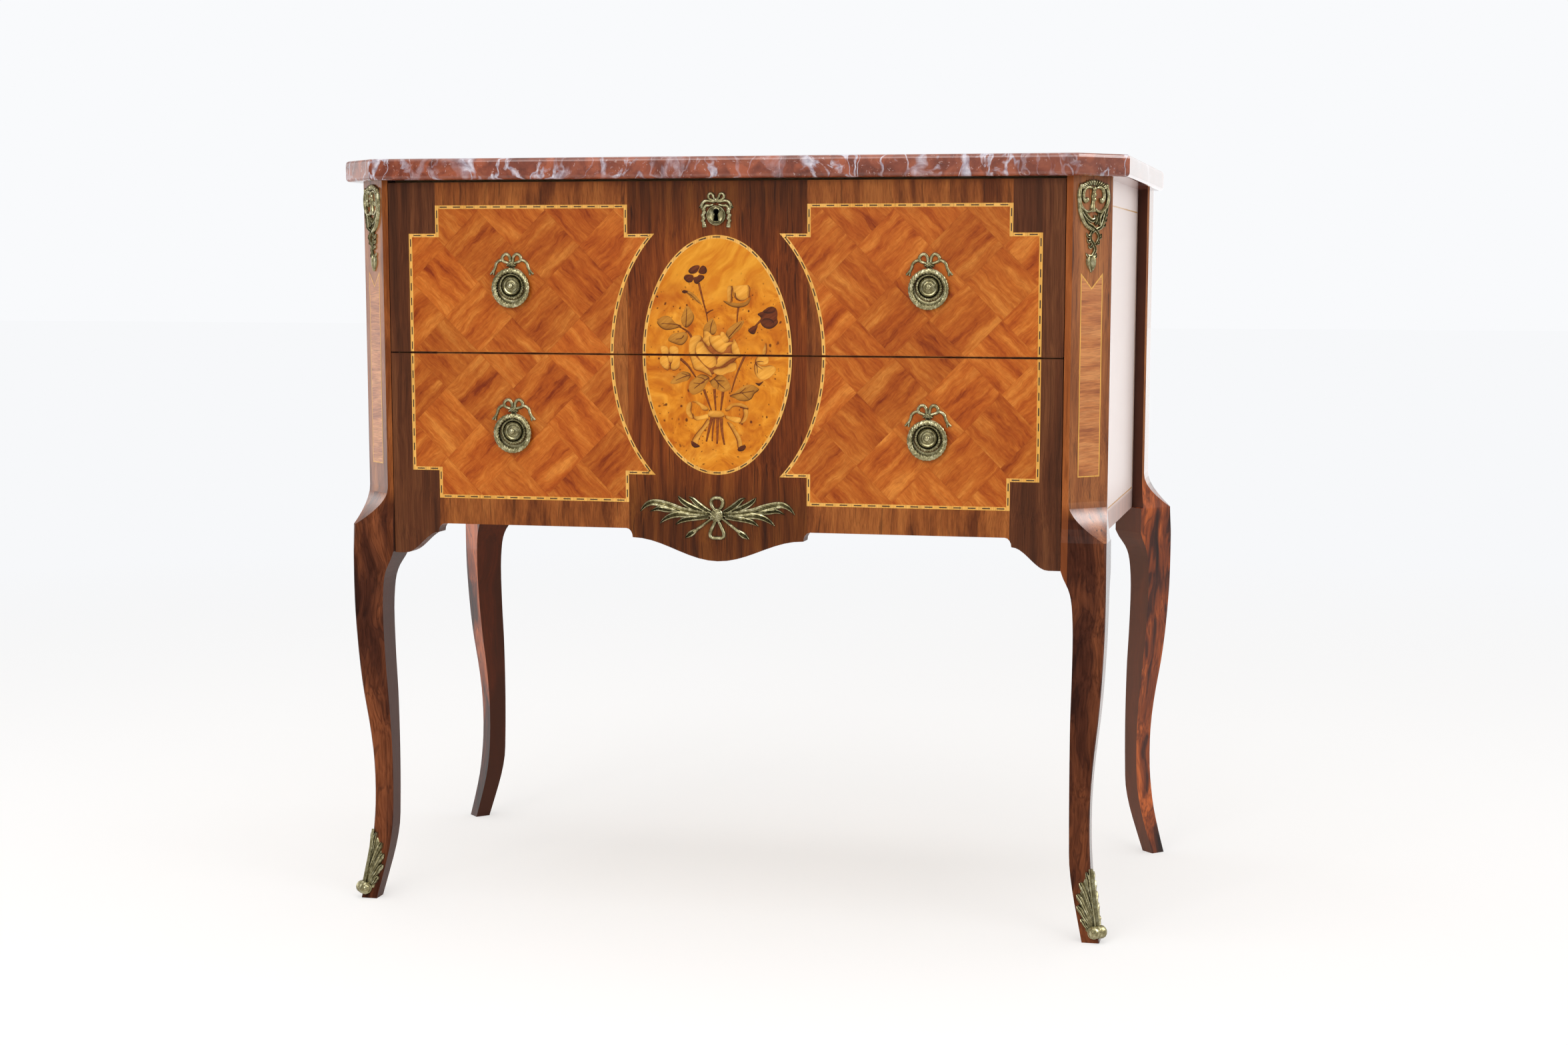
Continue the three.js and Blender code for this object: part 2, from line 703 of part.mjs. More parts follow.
// Leaf spray on the apron, in shares of its width and height above its lower tip
const sprayShares = [
  [0, 0.86], [0.03, 1], [0.06, 0.86], [0.12, 0.7], [0.2, 0.84], [0.27, 0.76], [0.36, 0.8], [0.43, 0.66],
  [0.5, 0.72], [0.46, 0.5], [0.36, 0.44], [0.27, 0.36], [0.2, 0.42], [0.14, 0.32], [0.08, 0.1], [0.04, 0],
]

function makeApronMount() {
  const shape = shareOutline(sprayShares, sprayWidth, sprayHeight, apronEdgeHeight - sprayDrop)
  return plate(shape, frontY, sprayThickness)
}

// Sabot: a shoe round the outer corner of the front foot, with a scroll at its base
function makeSabot() {
  const sections = legSections()
  const offsetAt = (height) => {
    const above = sections.findIndex((section) => section.height > height)
    const [low, high] = [sections[above - 1], sections[above]]
    return THREE.MathUtils.mapLinear(height, low.height, high.height, low.offset, high.offset)
  }
  const top = sabotBottom + sabotHeight
  const between = sections.map((section) => section.height).filter((height) => height > sabotBottom && height < top)
  const rings = [sabotBottom, ...between, top].map((height) => {
    const inner = offsetAt(height) - gap
    const outer = inner - sabotThickness
    const reach = inner + sabotReach
    return [
      [inner, inner], [reach, inner], [reach, outer], [outer, outer], [outer, reach], [inner, reach],
    ].map(([across, along]) => [...frontCorner(across, along), height])
  })
  const scrollHeight = sabotBottom + scrollRadius
  const centre = offsetAt(scrollHeight) - gap - scrollRadius / Math.SQRT2
  const [x, y] = frontCorner(centre, centre)
  const scroll = new THREE.CylinderGeometry(scrollRadius, scrollRadius, scrollLength, rodSides)
    .rotateZ(-Math.PI / 4)
    .translate(x, y, scrollHeight)
  return joined(loft(rings), scroll)
}

const commode = new THREE.Group()
const caseGroup = new THREE.Group()
const upperDrawer = new THREE.Group()
const lowerDrawer = new THREE.Group()
commode.add(caseGroup, upperDrawer, lowerDrawer)

add(caseGroup, 'marble_slab', makeSlab(), redMarble)
addPair(caseGroup, 'front_post', makePost(postWidth, postDepth, frontCorner), rosewood)
addPair(caseGroup, 'rear_post', makeRearPost(), rosewood)
addPair(caseGroup, 'side_panel', makeSidePanel(), rosewood)
add(caseGroup, 'back_panel', makeBackPanel(), stainedPine)
add(caseGroup, 'bottom_board', makeBottomBoard(), pine)
add(caseGroup, 'middle_rail', makeFrontRail(middleRailDepth, middleRailBottom, middleRailTop), pine)
add(caseGroup, 'top_front_rail', makeTopFrontRail(), pine)
add(caseGroup, 'top_back_rail', makeTopBackRail(), pine)
addRunners('lower', postBackY + gap, lowerRunTop)
addRunners('upper', railFrontY + middleRailDepth, middleRailTop)
addPair(caseGroup, 'kicker', block(
  [panelInnerX - kickerWidth, railFrontY + topRailDepth, topRailBottom],
  [panelInnerX, backPanelY - topRailDepth, caseTop],
), pine)
addCornerMount('corner_mount_right', 1)
addCornerMount('corner_mount_left', -1)
addPair(caseGroup, 'sabot', makeSabot(), bronze)

add(upperDrawer, 'upper_drawer_front', makeUpperFront(), rosewood)
addDrawerBox(upperDrawer, 'upper_drawer', middleRailTop, topRailBottom)
addHandles(upperDrawer, 'upper', upperHandleHeight)
add(upperDrawer, 'escutcheon', makeEscutcheon(), bronze)
add(upperDrawer, 'lock_case', makeLockCase(), iron)
add(upperDrawer, 'lock_bolt', makeLockBolt(), iron)

add(lowerDrawer, 'lower_drawer_front', makeLowerFront(), rosewood)
addDrawerBox(lowerDrawer, 'lower_drawer', lowerRunTop, middleRailBottom)
addHandles(lowerDrawer, 'lower', lowerHandleHeight)
add(lowerDrawer, 'apron_mount', makeApronMount(), bronze)

export default commode
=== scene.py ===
"""A commode chest with a marble slab, parquetry drawers and bronze mounts, dressed over its CAD frame."""

import json
import math

import bmesh
import bpy
from mathutils import Matrix, Vector
from mathutils.geometry import delaunay_2d_cdt


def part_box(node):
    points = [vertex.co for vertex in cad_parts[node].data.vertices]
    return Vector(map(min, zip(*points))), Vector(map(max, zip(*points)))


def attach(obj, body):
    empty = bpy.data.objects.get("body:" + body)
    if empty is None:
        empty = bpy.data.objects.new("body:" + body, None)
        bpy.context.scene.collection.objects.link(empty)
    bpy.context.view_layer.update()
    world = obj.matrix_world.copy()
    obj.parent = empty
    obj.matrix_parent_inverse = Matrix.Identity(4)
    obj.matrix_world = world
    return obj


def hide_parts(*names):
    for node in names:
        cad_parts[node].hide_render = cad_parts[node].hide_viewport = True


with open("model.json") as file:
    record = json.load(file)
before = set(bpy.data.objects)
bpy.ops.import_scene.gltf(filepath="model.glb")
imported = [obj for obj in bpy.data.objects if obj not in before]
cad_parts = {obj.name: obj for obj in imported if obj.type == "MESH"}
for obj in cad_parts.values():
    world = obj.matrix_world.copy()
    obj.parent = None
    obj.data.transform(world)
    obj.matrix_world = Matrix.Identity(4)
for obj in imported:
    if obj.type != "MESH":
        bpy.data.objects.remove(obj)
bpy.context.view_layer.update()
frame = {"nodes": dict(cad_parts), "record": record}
nodes = frame["nodes"]

MM = 0.001
DIAGONAL = math.sqrt(0.5)
SIDES = {"right": 1.0, "left": -1.0}

FACE_Y = -213.0
GAP_LOW, GAP_HIGH = 596.71, 599.11
DRAWERS = (("upper", GAP_HIGH, 775.8), ("lower", 383.5, GAP_LOW))
KEYHOLE_Z = 740.6
HANDLE_X = 222.0
HANDLE_Z = {"upper": 668.285, "lower": 516.02}
CANT_X, CANT_Y = 383.75, -195.25
POST_X = 401.5
SIDE_PANEL_X = 393.0

OVAL_Z = 597.5
OVAL_WIDE, OVAL_HIGH = 79.8, 123.35
COVE_WIDE, COVE_HIGH = 111.3, 155.5
STRING = 3.6
FIELD_LIFT, STRING_LIFT, DASH_LIFT = 0.10, 0.12, 0.16

WHITE = (255, 255, 255)
NIGHT = (40, 20, 14)


def tint(red, green, blue):
    """A colour given as screen values from 0 to 255."""
    shares = [value / 255 for value in (red, green, blue)]
    return tuple(s / 12.92 if s <= 0.04045 else ((s + 0.055) / 1.055) ** 2.4 for s in shares) + (1.0,)


class Tree:
    """A node tree; its methods add nodes and give back their outputs. Colours are given as screen values."""

    def __init__(self, owner):
        owner.use_nodes = True
        self.nodes = owner.node_tree.nodes
        self.links = owner.node_tree.links

    def put(self, socket, value):
        if isinstance(value, bpy.types.NodeSocket):
            self.links.new(value, socket)
        else:
            socket.default_value = tint(*value) if socket.type == "RGBA" else value

    def add(self, kind, inputs=(), **settings):
        """A node with its settings, and its inputs given in order or by name."""
        node = self.nodes.new(f"ShaderNode{kind}")
        for setting, value in settings.items():
            setattr(node, setting, value)
        for key, value in inputs.items() if isinstance(inputs, dict) else enumerate(inputs):
            self.put(node.inputs[key], value)
        return node

    def math(self, operation, *values):
        return self.add("Math", values, operation=operation).outputs[0]

    def plus(self, first, second):
        return self.math("ADD", first, second)

    def minus(self, first, second):
        return self.math("SUBTRACT", first, second)

    def times(self, first, *others):
        for other in others:
            first = self.math("MULTIPLY", first, other)
        return first

    def size(self, value):
        return self.math("ABSOLUTE", value)

    def over(self, value, limit):
        return self.math("GREATER_THAN", value, limit)

    def under(self, value, limit):
        return self.math("LESS_THAN", value, limit)

    def distance(self, x, y):
        return self.math("SQRT", self.plus(self.times(x, x), self.times(y, y)))

    def span(self, value, low, high, start=0.0, end=1.0):
        return self.add("MapRange", (value, low, high, start, end)).outputs[0]

    def split(self, vector):
        return self.add("SeparateXYZ", (vector,)).outputs

    def join(self, x, y, z):
        return self.add("CombineXYZ", (x, y, z)).outputs[0]

    def added(self, vector, other, share):
        scaled = other, (share, share, share), vector
        return self.add("VectorMath", scaled, operation="MULTIPLY_ADD").outputs[0]

    def mapped(self, vector, scale=(1, 1, 1), turn=(0, 0, 0), move=(0, 0, 0)):
        return self.add("Mapping", (vector, move, turn, scale)).outputs[0]

    def slanted(self, vector, turn, ratio):
        """Coordinates for a texture that is drawn out along a slanted line."""
        return self.mapped(self.mapped(vector, turn=(0, turn, 0)), scale=(ratio, 1, 1))

    def noise(self, vector, scale, detail=4.0, roughness=0.55, distortion=0.0, output="Fac"):
        return self.add("TexNoise", {
            "Vector": vector, "Scale": scale, "Detail": detail, "Roughness": roughness,
            "Distortion": distortion,
        }).outputs[output]

    def cells(self, vector, scale, output="Distance"):
        return self.add("TexVoronoi", {"Vector": vector, "Scale": scale}).outputs[output]

    def chance(self, vector):
        return self.add("TexWhiteNoise", {"Vector": vector}).outputs["Color"]

    def ramp(self, value, *stops):
        """Colours by value; a colour of four numbers is taken as it is."""
        node = self.add("ValToRGB", (value,))
        elements = node.color_ramp.elements
        while len(elements) < len(stops):
            elements.new(1.0)
        for element, (position, colour) in zip(elements, stops):
            element.position = position
            element.color = colour if len(colour) == 4 else tint(*colour)
        return node.outputs[0]

    def mix(self, share, first, second, blend="MIX"):
        inputs = {0: share, 6: first, 7: second}
        return self.add("Mix", inputs, data_type="RGBA", blend_type=blend).outputs[2]


class Finish(Tree):
    """A material with one shader."""

    def __init__(self, name, roughness=0.4, metallic=0.0, coat=0.0, coat_roughness=0.05, specular=0.5):
        self.material = bpy.data.materials.new(name)
        super().__init__(self.material)
        for socket, value in (
                ("Roughness", roughness), ("Metallic", metallic), ("Coat Weight", coat),
                ("Coat Roughness", coat_roughness), ("Specular IOR Level", specular)):
            self.surface(socket, value)
        coordinates = self.add("TexCoord").outputs
        self.place = coordinates["Object"]
        self.normal = coordinates["Normal"]

    def surface(self, name, value):
        self.put(self.nodes["Principled BSDF"].inputs[name], value)

    def polish(self, coat, share):
        """A coat that varies, and a share of it as reflection below the coat."""
        self.surface("Coat Weight", coat)
        self.surface("Specular IOR Level", self.times(coat, share))

    def finished(self, tone, height, depth, strength=0.4):
        """The material with its colour and its fine relief."""
        bump = self.add("Bump", {"Strength": strength, "Distance": depth, "Height": height})
        self.surface("Base Color", tone)
        self.surface("Normal", bump.outputs[0])
        return self.material

    def grained(self, tone, pores, dull=0.46, bright=0.34):
        """Veneer with its colour and its pores, dull in the pores and brighter between them."""
        self.surface("Roughness", self.span(pores, 0.0, 1.0, dull, bright))
        return self.finished(tone, pores, 0.00003)


def stretch(direction, ratio):
    """Scales that draw a texture out along one or two axes."""
    return tuple(ratio if axis in direction else 1.0 for axis in "xyz")


def veined(finish, tones, line, direction="z", broad=26.0, streak=130.0, wave=0.006, lines=0.55, drawn=0.04):
    """The colour of wood with broad figure, streaks, dark lines and pores along one axis, and its pores."""
    swayed = finish.added(finish.place, finish.noise(finish.place, 8.0, 2.0, output="Color"), wave)
    along = finish.mapped(swayed, scale=stretch(direction, drawn))
    figure = finish.noise(along, broad, 2.0, 0.5)
    streaks = finish.noise(along, streak, 6.0, 0.65)
    level = finish.plus(finish.times(figure, 0.45), finish.times(streaks, 0.55))
    dark, middle, light = tones
    tone = finish.ramp(level, (0.38, dark), (0.49, middle), (0.6, light))
    fine = finish.mapped(swayed, scale=stretch(direction, drawn / 3))
    threads = finish.span(finish.noise(fine, 3.2 * streak, 3.0, 0.6), 0.42, 0.32)
    tone = finish.mix(finish.times(threads, lines), tone, line)
    pores = finish.span(finish.noise(fine, 1500.0, 3.0, 0.6), 0.36, 0.6)
    soft = finish.ramp(pores, (0.0, (176, 168, 160)), (1.0, WHITE))
    return finish.mix(0.6, tone, soft, "MULTIPLY"), pores


def wood(name, tones, line, coat=0.25, specular=0.2, **figure):
    """Lacquered veneer."""
    finish = Finish(name, coat=coat, specular=specular)
    return finish.grained(*veined(finish, tones, line, **figure))


def front_ground():
    """The veneer round the panels: dark stiles, lighter strips above and below them, and a red-brown middle,
    with a disc of painted shade near black at the keyhole.
    """
    stile_from, middle_to, keyhole_shade_radius = 0.3065, 0.0956, 0.0088
    finish = Finish("front_ground", coat=0.08, specular=0.08)
    line = (40, 20, 12)
    stile, pores = veined(
        finish, ((70, 38, 22), (92, 50, 28), (112, 66, 38)), line,
        broad=30.0, streak=120.0, wave=0.01, lines=0.4)
    strip, _ = veined(
        finish, ((100, 50, 22), (142, 78, 35), (166, 98, 46)), line,
        broad=40.0, streak=90.0, wave=0.016, drawn=0.14, lines=0.5)
    middle, _ = veined(
        finish, ((84, 38, 16), (122, 58, 22), (152, 80, 30)), line,
        broad=22.0, streak=120.0, wave=0.014, drawn=0.05, lines=0.7)
    cool = finish.mix(1.0, middle, (206, 222, 236), "MULTIPLY")
    x, _, z = finish.split(finish.place)
    reach = finish.size(x)
    ends = finish.math("MAXIMUM", finish.span(z, 0.5, 0.44), finish.span(z, 0.7, 0.76))
    tone = finish.mix(finish.over(reach, stile_from), strip, stile)
    tone = finish.mix(finish.under(reach, middle_to), tone, finish.mix(ends, middle, cool))
    # Painted shade: a near-black disc round the keyhole's middle stands in for the dark inside the hole.
    away = finish.distance(x, finish.minus(z, KEYHOLE_Z * MM))
    return finish.grained(finish.mix(finish.under(away, keyhole_shade_radius), tone, (14, 10, 8)), pores)


def post_veneer():
    """Light veneer on the posts that turns into dark flamed wood on the legs; their inner faces are unfigured
    grey-brown wood with painted sheen, and painted shade makes the left legs' inner faces darker.
    """
    knee_top, knee_middle, edge_x, edge_foot = 0.452, 0.435, 0.3663, 0.36
    finish = Finish("post_veneer", coat_roughness=0.04)
    upper, pores = veined(
        finish, ((112, 58, 28), (154, 90, 46), (180, 112, 60)), NIGHT,
        broad=22.0, streak=90.0, wave=0.02, drawn=0.06, lines=0.6)
    x, y, height = finish.split(finish.place)
    facing = finish.split(finish.normal)[0]
    turned = finish.size(facing)
    bent = finish.added(finish.place, finish.noise(finish.place, 7.0, 2.0, 0.5, output="Color"), 0.06)
    flame = finish.noise(finish.mapped(bent, scale=stretch("z", 0.14)), 34.0, 3.0, 0.55, distortion=0.6)
    calm = finish.ramp(
        flame, (0.36, (52, 26, 18)), (0.46, (80, 42, 27)), (0.54, (104, 57, 35)), (0.66, (132, 74, 44)))
    strong = finish.ramp(
        flame, (0.38, (44, 20, 12)), (0.46, (80, 36, 20)), (0.53, (148, 70, 30)), (0.62, (204, 104, 46)))
    leg = finish.mix(finish.over(y, 0.0), calm, strong)
    fibre = finish.noise(finish.mapped(bent, scale=stretch("z", 0.04)), 420.0, 4.0, 0.6)
    leg = finish.mix(0.7, leg, finish.ramp(fibre, (0.34, (150, 136, 128)), (0.6, WHITE)), "MULTIPLY")
    edges = finish.math("SINE", finish.times(flame, 70.0))
    leg = finish.mix(finish.times(finish.span(edges, 0.7, 1.0), 0.4), leg, NIGHT)
    tone = finish.mix(finish.span(height, knee_top, knee_middle), upper, leg)
    edging = finish.times(
        finish.under(finish.size(x), edge_x), finish.over(height, edge_foot), finish.under(turned, 0.4),
        finish.under(y, -0.2), finish.span(x, -0.1, 0.1, 0.1, 0.38))
    tone = finish.mix(edging, tone, (164, 88, 44))
    inward = finish.span(finish.times(finish.math("SIGN", x), facing), -0.3, -0.6)
    # Inner faces: an unfigured grey-brown tone, partly the wood and partly painted sheen; painted shade makes
    # the left-hand legs' inner faces darker than the right-hand ones.
    unfigured_and_painted_light = finish.mix(finish.span(x, -0.01, 0.01), (84, 54, 44), (118, 86, 74))
    unfigured_and_painted_light = finish.mix(0.75, finish.mix(1.0, tone, (150, 124, 112), "MULTIPLY"), unfigured_and_painted_light)
    coat = finish.plus(finish.span(turned, 0.2, 0.5, 0.06, 0.35), finish.span(turned, 0.8, 0.95, 0.0, 0.4))
    finish.polish(finish.times(coat, finish.minus(1.0, finish.times(inward, 0.85))), 0.5)
    return finish.grained(finish.mix(inward, tone, unfigured_and_painted_light), pores, 0.42, 0.3)


def side_veneer():
    """The polished side panels: brown when looked at squarely, and turned white by a painted sheen where the
    surface is seen at a slant, half as strong low on the panel below its bottom string.
    """
    finish = Finish("side_veneer", coat=0.3, coat_roughness=0.25, specular=0.2)
    tone, pores = veined(finish, ((136, 70, 38), (164, 90, 50), (186, 110, 66)), (110, 52, 28), lines=0.3)
    height = finish.split(finish.place)[2]
    # Painted sheen: the colour is mixed towards white by how slanting the view is, and by half as much at the
    # bottom.
    slant = finish.add("LayerWeight", {"Blend": 0.5}).outputs["Facing"]
    painted_sheen = finish.times(finish.span(slant, 0.55, 0.78, 0.0, 0.93), finish.span(height, 0.432, 0.437, 0.5, 1.0))
    return finish.grained(finish.mix(painted_sheen, tone, (254, 238, 232)), pores)


def knee_veneer():
    """Veneer on the scoops above the front legs, most polished where the curve turns up to the light."""
    finish = Finish("knee_veneer", coat_roughness=0.2)
    tone, pores = veined(
        finish, ((92, 48, 28), (134, 76, 44), (172, 106, 64)), NIGHT,
        broad=30.0, streak=90.0, wave=0.02, drawn=0.08, lines=0.9)
    height = finish.split(finish.place)[2]
    curve_top, curve_foot = finish.span(height, 0.4495, 0.44), finish.span(height, 0.416, 0.436, 0.25, 1.0)
    finish.polish(finish.times(curve_top, curve_foot), 0.4)
    return finish.grained(tone, pores, 0.42, 0.42)


def parquetry():
    """Square tiles set corner up, their grain crossing from tile to tile."""
    side, centre_x, centre_z = 0.0526, 0.2223, 0.598
    finish = Finish("parquetry", coat=0.15, coat_roughness=0.06, specular=0.1)
    x, _, z = finish.split(finish.place)
    hand = finish.math("SIGN", x)
    from_centre = finish.times(hand, finish.minus(finish.size(x), centre_x))
    height = finish.minus(z, centre_z)
    rising = finish.plus(finish.times(finish.plus(from_centre, height), DIAGONAL / side), 0.5)
    falling = finish.plus(finish.times(finish.minus(from_centre, height), DIAGONAL / side), 0.5)
    row = finish.math("FLOOR", falling)
    column = finish.math("FLOOR", rising)
    odd = finish.math("FLOORED_MODULO", finish.plus(row, column), 2.0)
    even = finish.minus(1.0, odd)
    across = finish.plus(
        finish.times(finish.math("FRACT", rising), even), finish.times(finish.math("FRACT", falling), odd))
    along = finish.plus(finish.times(falling, even), finish.times(rising, odd))
    red, green, blue = finish.split(finish.chance(finish.join(row, column, hand)))
    waved = finish.plus(across, finish.span(finish.noise(finish.place, 55.0, 2.0), 0.3, 0.7, -0.035, 0.035))
    spread = finish.join(
        finish.plus(waved, finish.times(red, 9.0)), finish.times(along, 0.16), finish.times(green, 9.0))
    bands = finish.noise(spread, 4.6, 6.0, 0.68)
    match = finish.ramp(across, *(
        (position, (grey, grey, grey, 1.0)) for position, grey in (
            (0.0, 0.55), (0.3, 0.62), (0.45, 0.35), (0.65, 0.3), (0.8, 0.6), (1.0, 0.5))))
    level = finish.plus(finish.times(bands, 0.78), finish.times(match, 0.22))
    tone = finish.ramp(
        level, (0.33, (128, 48, 12)), (0.43, (168, 80, 22)), (0.53, (188, 102, 34)), (0.64, (208, 128, 52)))
    cloudy = finish.join(finish.times(across, 7.0), finish.times(along, 12.0), blue)
    fibrous = finish.join(finish.times(waved, 52.0), finish.times(along, 3.0), blue)
    mottle, fine = finish.noise(cloudy, 1.0, 3.0, 0.6), finish.noise(fibrous, 1.0, 4.0, 0.6)
    for figure, dark in ((mottle, (226, 212, 196)), (fine, (200, 180, 160))):
        tone = finish.mix(0.5, tone, finish.ramp(figure, (0.3, dark), (0.6, WHITE)), "MULTIPLY")
    edge = finish.math("MINIMUM", *(finish.math("PINGPONG", tiles, 0.5) for tiles in (rising, falling)))
    for shade in (finish.span(blue, 0.0, 1.0, 0.9, 1.1), finish.span(edge, 0.0, 0.01, 0.86, 1.0)):
        tone = finish.mix(1.0, tone, finish.join(shade, shade, shade), "MULTIPLY")
    finish.surface("Roughness", finish.span(fine, 0.3, 0.7, 0.36, 0.28))
    return finish.finished(tone, fine, 0.00004, 0.5)


def burl():
    """Yellow burl: drawn streaks in its upper part, and brown clouds with dark-eyed knots lower down."""
    finish = Finish("burl", roughness=0.32, coat=0.12, specular=0.1)
    swirl = finish.noise(finish.place, 18.0, 2.0, 0.5, output="Color")
    bent = finish.added(finish.place, swirl, 0.03)
    height = finish.split(finish.added(finish.place, swirl, 0.06))[2]
    low = finish.span(height, 0.716, 0.69)
    streaks = finish.noise(finish.slanted(bent, 0.75, 0.16), 70.0, 5.0, 0.6)
    upper = finish.ramp(streaks, (0.36, (198, 112, 20)), (0.47, (212, 136, 32)), (0.6, (226, 156, 48)))
    clouds = finish.noise(bent, 38.0, 5.0, 0.62, distortion=0.9)
    lower = finish.ramp(
        clouds, (0.33, (176, 88, 14)), (0.46, (204, 120, 24)), (0.55, (216, 136, 34)), (0.68, (230, 158, 52)))
    brown = finish.span(finish.noise(bent, 26.0, 4.0, 0.6), 0.5, 0.66)
    lower = finish.mix(finish.times(brown, 0.6), lower, (174, 86, 20))
    tone = finish.mix(low, upper, lower)
    here = finish.times(finish.span(finish.noise(finish.place, 24.0, 2.0), 0.36, 0.48), low)
    halo = finish.span(finish.cells(bent, 90.0), 0.55, 0.1)
    tone = finish.mix(finish.times(halo, here, 0.4), tone, (170, 82, 16))
    for scale, most, dark in ((120.0, 0.17, 0.95), (230.0, 0.22, 0.85)):
        pick = finish.split(finish.cells(bent, scale, "Color"))[0]
        radius = finish.span(pick, 0.3, 1.0, 0.02, most)
        eye = finish.span(finish.minus(finish.cells(bent, scale), radius), 0.06, -0.03)
        tone = finish.mix(finish.times(eye, finish.over(pick, 0.3), here, dark), tone, (92, 40, 12))
    return finish.finished(tone, clouds, 0.00003, 0.3)


def shaded(name, dark, light, burnt):
    """Small veneers of the bouquet, burnt in hot sand along one edge."""
    finish = Finish(name, roughness=0.34, coat=0.15, specular=0.1)
    grain = finish.noise(finish.slanted(finish.place, 0.6, 0.12), 300.0, 4.0, 0.6)
    burn = finish.add("Attribute", attribute_name="burn").outputs["Fac"]
    tone = finish.mix(burn, finish.ramp(grain, (0.36, dark), (0.62, light)), burnt)
    return finish.finished(tone, grain, 0.00002, 0.3)


def marble():
    """Red-brown marble with grey patches and veins, orange patches and pale flecks, glossier at its edge."""
    finish = Finish("red_marble", coat_roughness=0.03)
    drift = finish.noise(finish.place, 16.0, 3.0, 0.6, output="Color")
    bent = finish.added(finish.place, drift, 0.05)
    curl = finish.added(finish.place, drift, 0.045)
    body = finish.noise(bent, 60.0, 7.0, 0.66)
    tone = finish.ramp(body, (0.32, (92, 42, 28)), (0.48, (124, 60, 40)), (0.66, (148, 80, 54)))
    patches = finish.span(finish.noise(bent, 30.0, 3.0, distortion=0.6), 0.52, 0.62)
    tone = finish.mix(finish.times(patches, 0.6), tone, (172, 90, 58))
    cluster = finish.span(finish.noise(finish.mapped(finish.place, move=(3, 1, 2)), 13.0, 2.0, 0.5), 0.44, 0.54)
    grey = finish.ramp(finish.noise(curl, 170.0, 4.0, 0.6), (0.36, (146, 134, 146)), (0.62, (210, 203, 212)))
    blots = finish.span(finish.noise(curl, 34.0, 4.0, 0.6, distortion=0.5), 0.55, 0.62)
    tone = finish.mix(finish.times(blots, cluster, 0.9), tone, grey)
    for scale, width, share, everywhere in ((15.0, 0.034, 0.9, 0.2), (27.0, 0.02, 0.85, 0.3)):
        drawn = finish.mapped(curl, turn=(0, 0.6, 0), scale=(1.0, 0.7, 0.3), move=(0, 0, scale))
        ridge = finish.size(finish.minus(finish.noise(drawn, scale, 4.0, 0.45), 0.5))
        swell = finish.span(finish.noise(bent, 40.0, 2.0), 0.35, 0.65, width / 2, width)
        strength = finish.span(cluster, 0.0, 1.0, everywhere, 1.0)
        tone = finish.mix(finish.times(finish.span(ridge, swell, width / 5), strength, share), tone, grey)
    flecks = finish.span(finish.noise(bent, 300.0, 3.0, 0.6), 0.64, 0.68)
    tone = finish.mix(finish.times(flecks, 0.6), tone, (190, 160, 152))
    upward = finish.split(finish.normal)[2]
    finish.surface("Coat Weight", finish.span(upward, 0.5, 0.9, 0.3, 0.0))
    finish.surface("Roughness", finish.span(upward, 0.5, 0.9, 0.12, 0.32))
    return finish.finished(tone, body, 0.00002, 0.3)


def bronze():
    """Gilt bronze gone green, dark in its hollows and pale on its edges."""
    finish = Finish("bronze", metallic=0.85)
    patina = finish.noise(finish.place, 240.0, 4.0, 0.6)
    tone = finish.ramp(patina, (0.32, (112, 104, 72)), (0.5, (152, 144, 106)), (0.68, (202, 196, 160)))
    hollows = finish.add("AmbientOcclusion", {"Distance": 0.004}, samples=8).outputs["AO"]
    tone = finish.mix(finish.span(hollows, 0.25, 0.8), (52, 48, 32), tone)
    finish.surface("Roughness", finish.span(patina, 0.3, 0.7, 0.34, 0.16))
    return finish.finished(tone, finish.noise(finish.place, 400.0, 2.0), 0.00008)


def plain_wood(name, dark, light):
    """Unpolished softwood, its grain front to back, or from side to side on boards that face front or back."""
    finish = Finish(name, roughness=0.6)
    deep, wide = [
        finish.noise(finish.mapped(finish.place, scale=stretch(direction, 0.04)), 90.0, 5.0, 0.6)
        for direction in "yx"]
    upright = finish.over(finish.size(finish.split(finish.normal)[1]), 0.7)
    rings = finish.mix(upright, deep, wide)
    return finish.finished(finish.ramp(rings, (0.35, dark), (0.65, light)), rings, 0.0001)


def iron():
    """Plain dark iron, spotted and dull."""
    finish = Finish("iron", metallic=1.0)
    spots = finish.noise(finish.place, 240.0, 4.0)
    finish.surface("Roughness", finish.span(spots, 0.3, 0.7, 0.6, 0.4))
    return finish.finished(finish.ramp(spots, (0.35, (52, 50, 48)), (0.65, (96, 94, 90))), spots, 0.0001)


BRONZE = bronze()
GROUND = front_ground()
KNEE = knee_veneer()
PARQUETRY = parquetry()
BURL = burl()
LIGHT = wood(
    "crossband", ((160, 88, 42), (194, 118, 60), (214, 142, 80)), (140, 72, 32), coat=0.4, specular=0.3,
    direction="xy", broad=60.0, streak=220.0, wave=0.02, drawn=0.12, lines=0.5)
YELLOW = wood(
    "boxwood", ((226, 164, 70), (233, 174, 82), (238, 182, 92)), (220, 158, 66), streak=60.0, lines=0.2)
EBONY = wood("ebony", ((48, 36, 24), (66, 50, 34), (80, 62, 42)), NIGHT, streak=200.0)
PETAL = shaded("pale_petal", (218, 146, 48), (235, 169, 70), (112, 44, 10))
HEART_WOOD = shaded("rose_heart", (140, 72, 24), (168, 94, 36), (88, 38, 12))
LEAF_GREEN = shaded("leaf_veneer", (166, 104, 32), (192, 130, 48), (76, 36, 12))
DARK_PETAL = shaded("dark_petal", (76, 32, 16), (112, 54, 26), (44, 26, 18))
STEM = shaded("stem_veneer", (116, 54, 18), (146, 76, 28), (58, 24, 8))

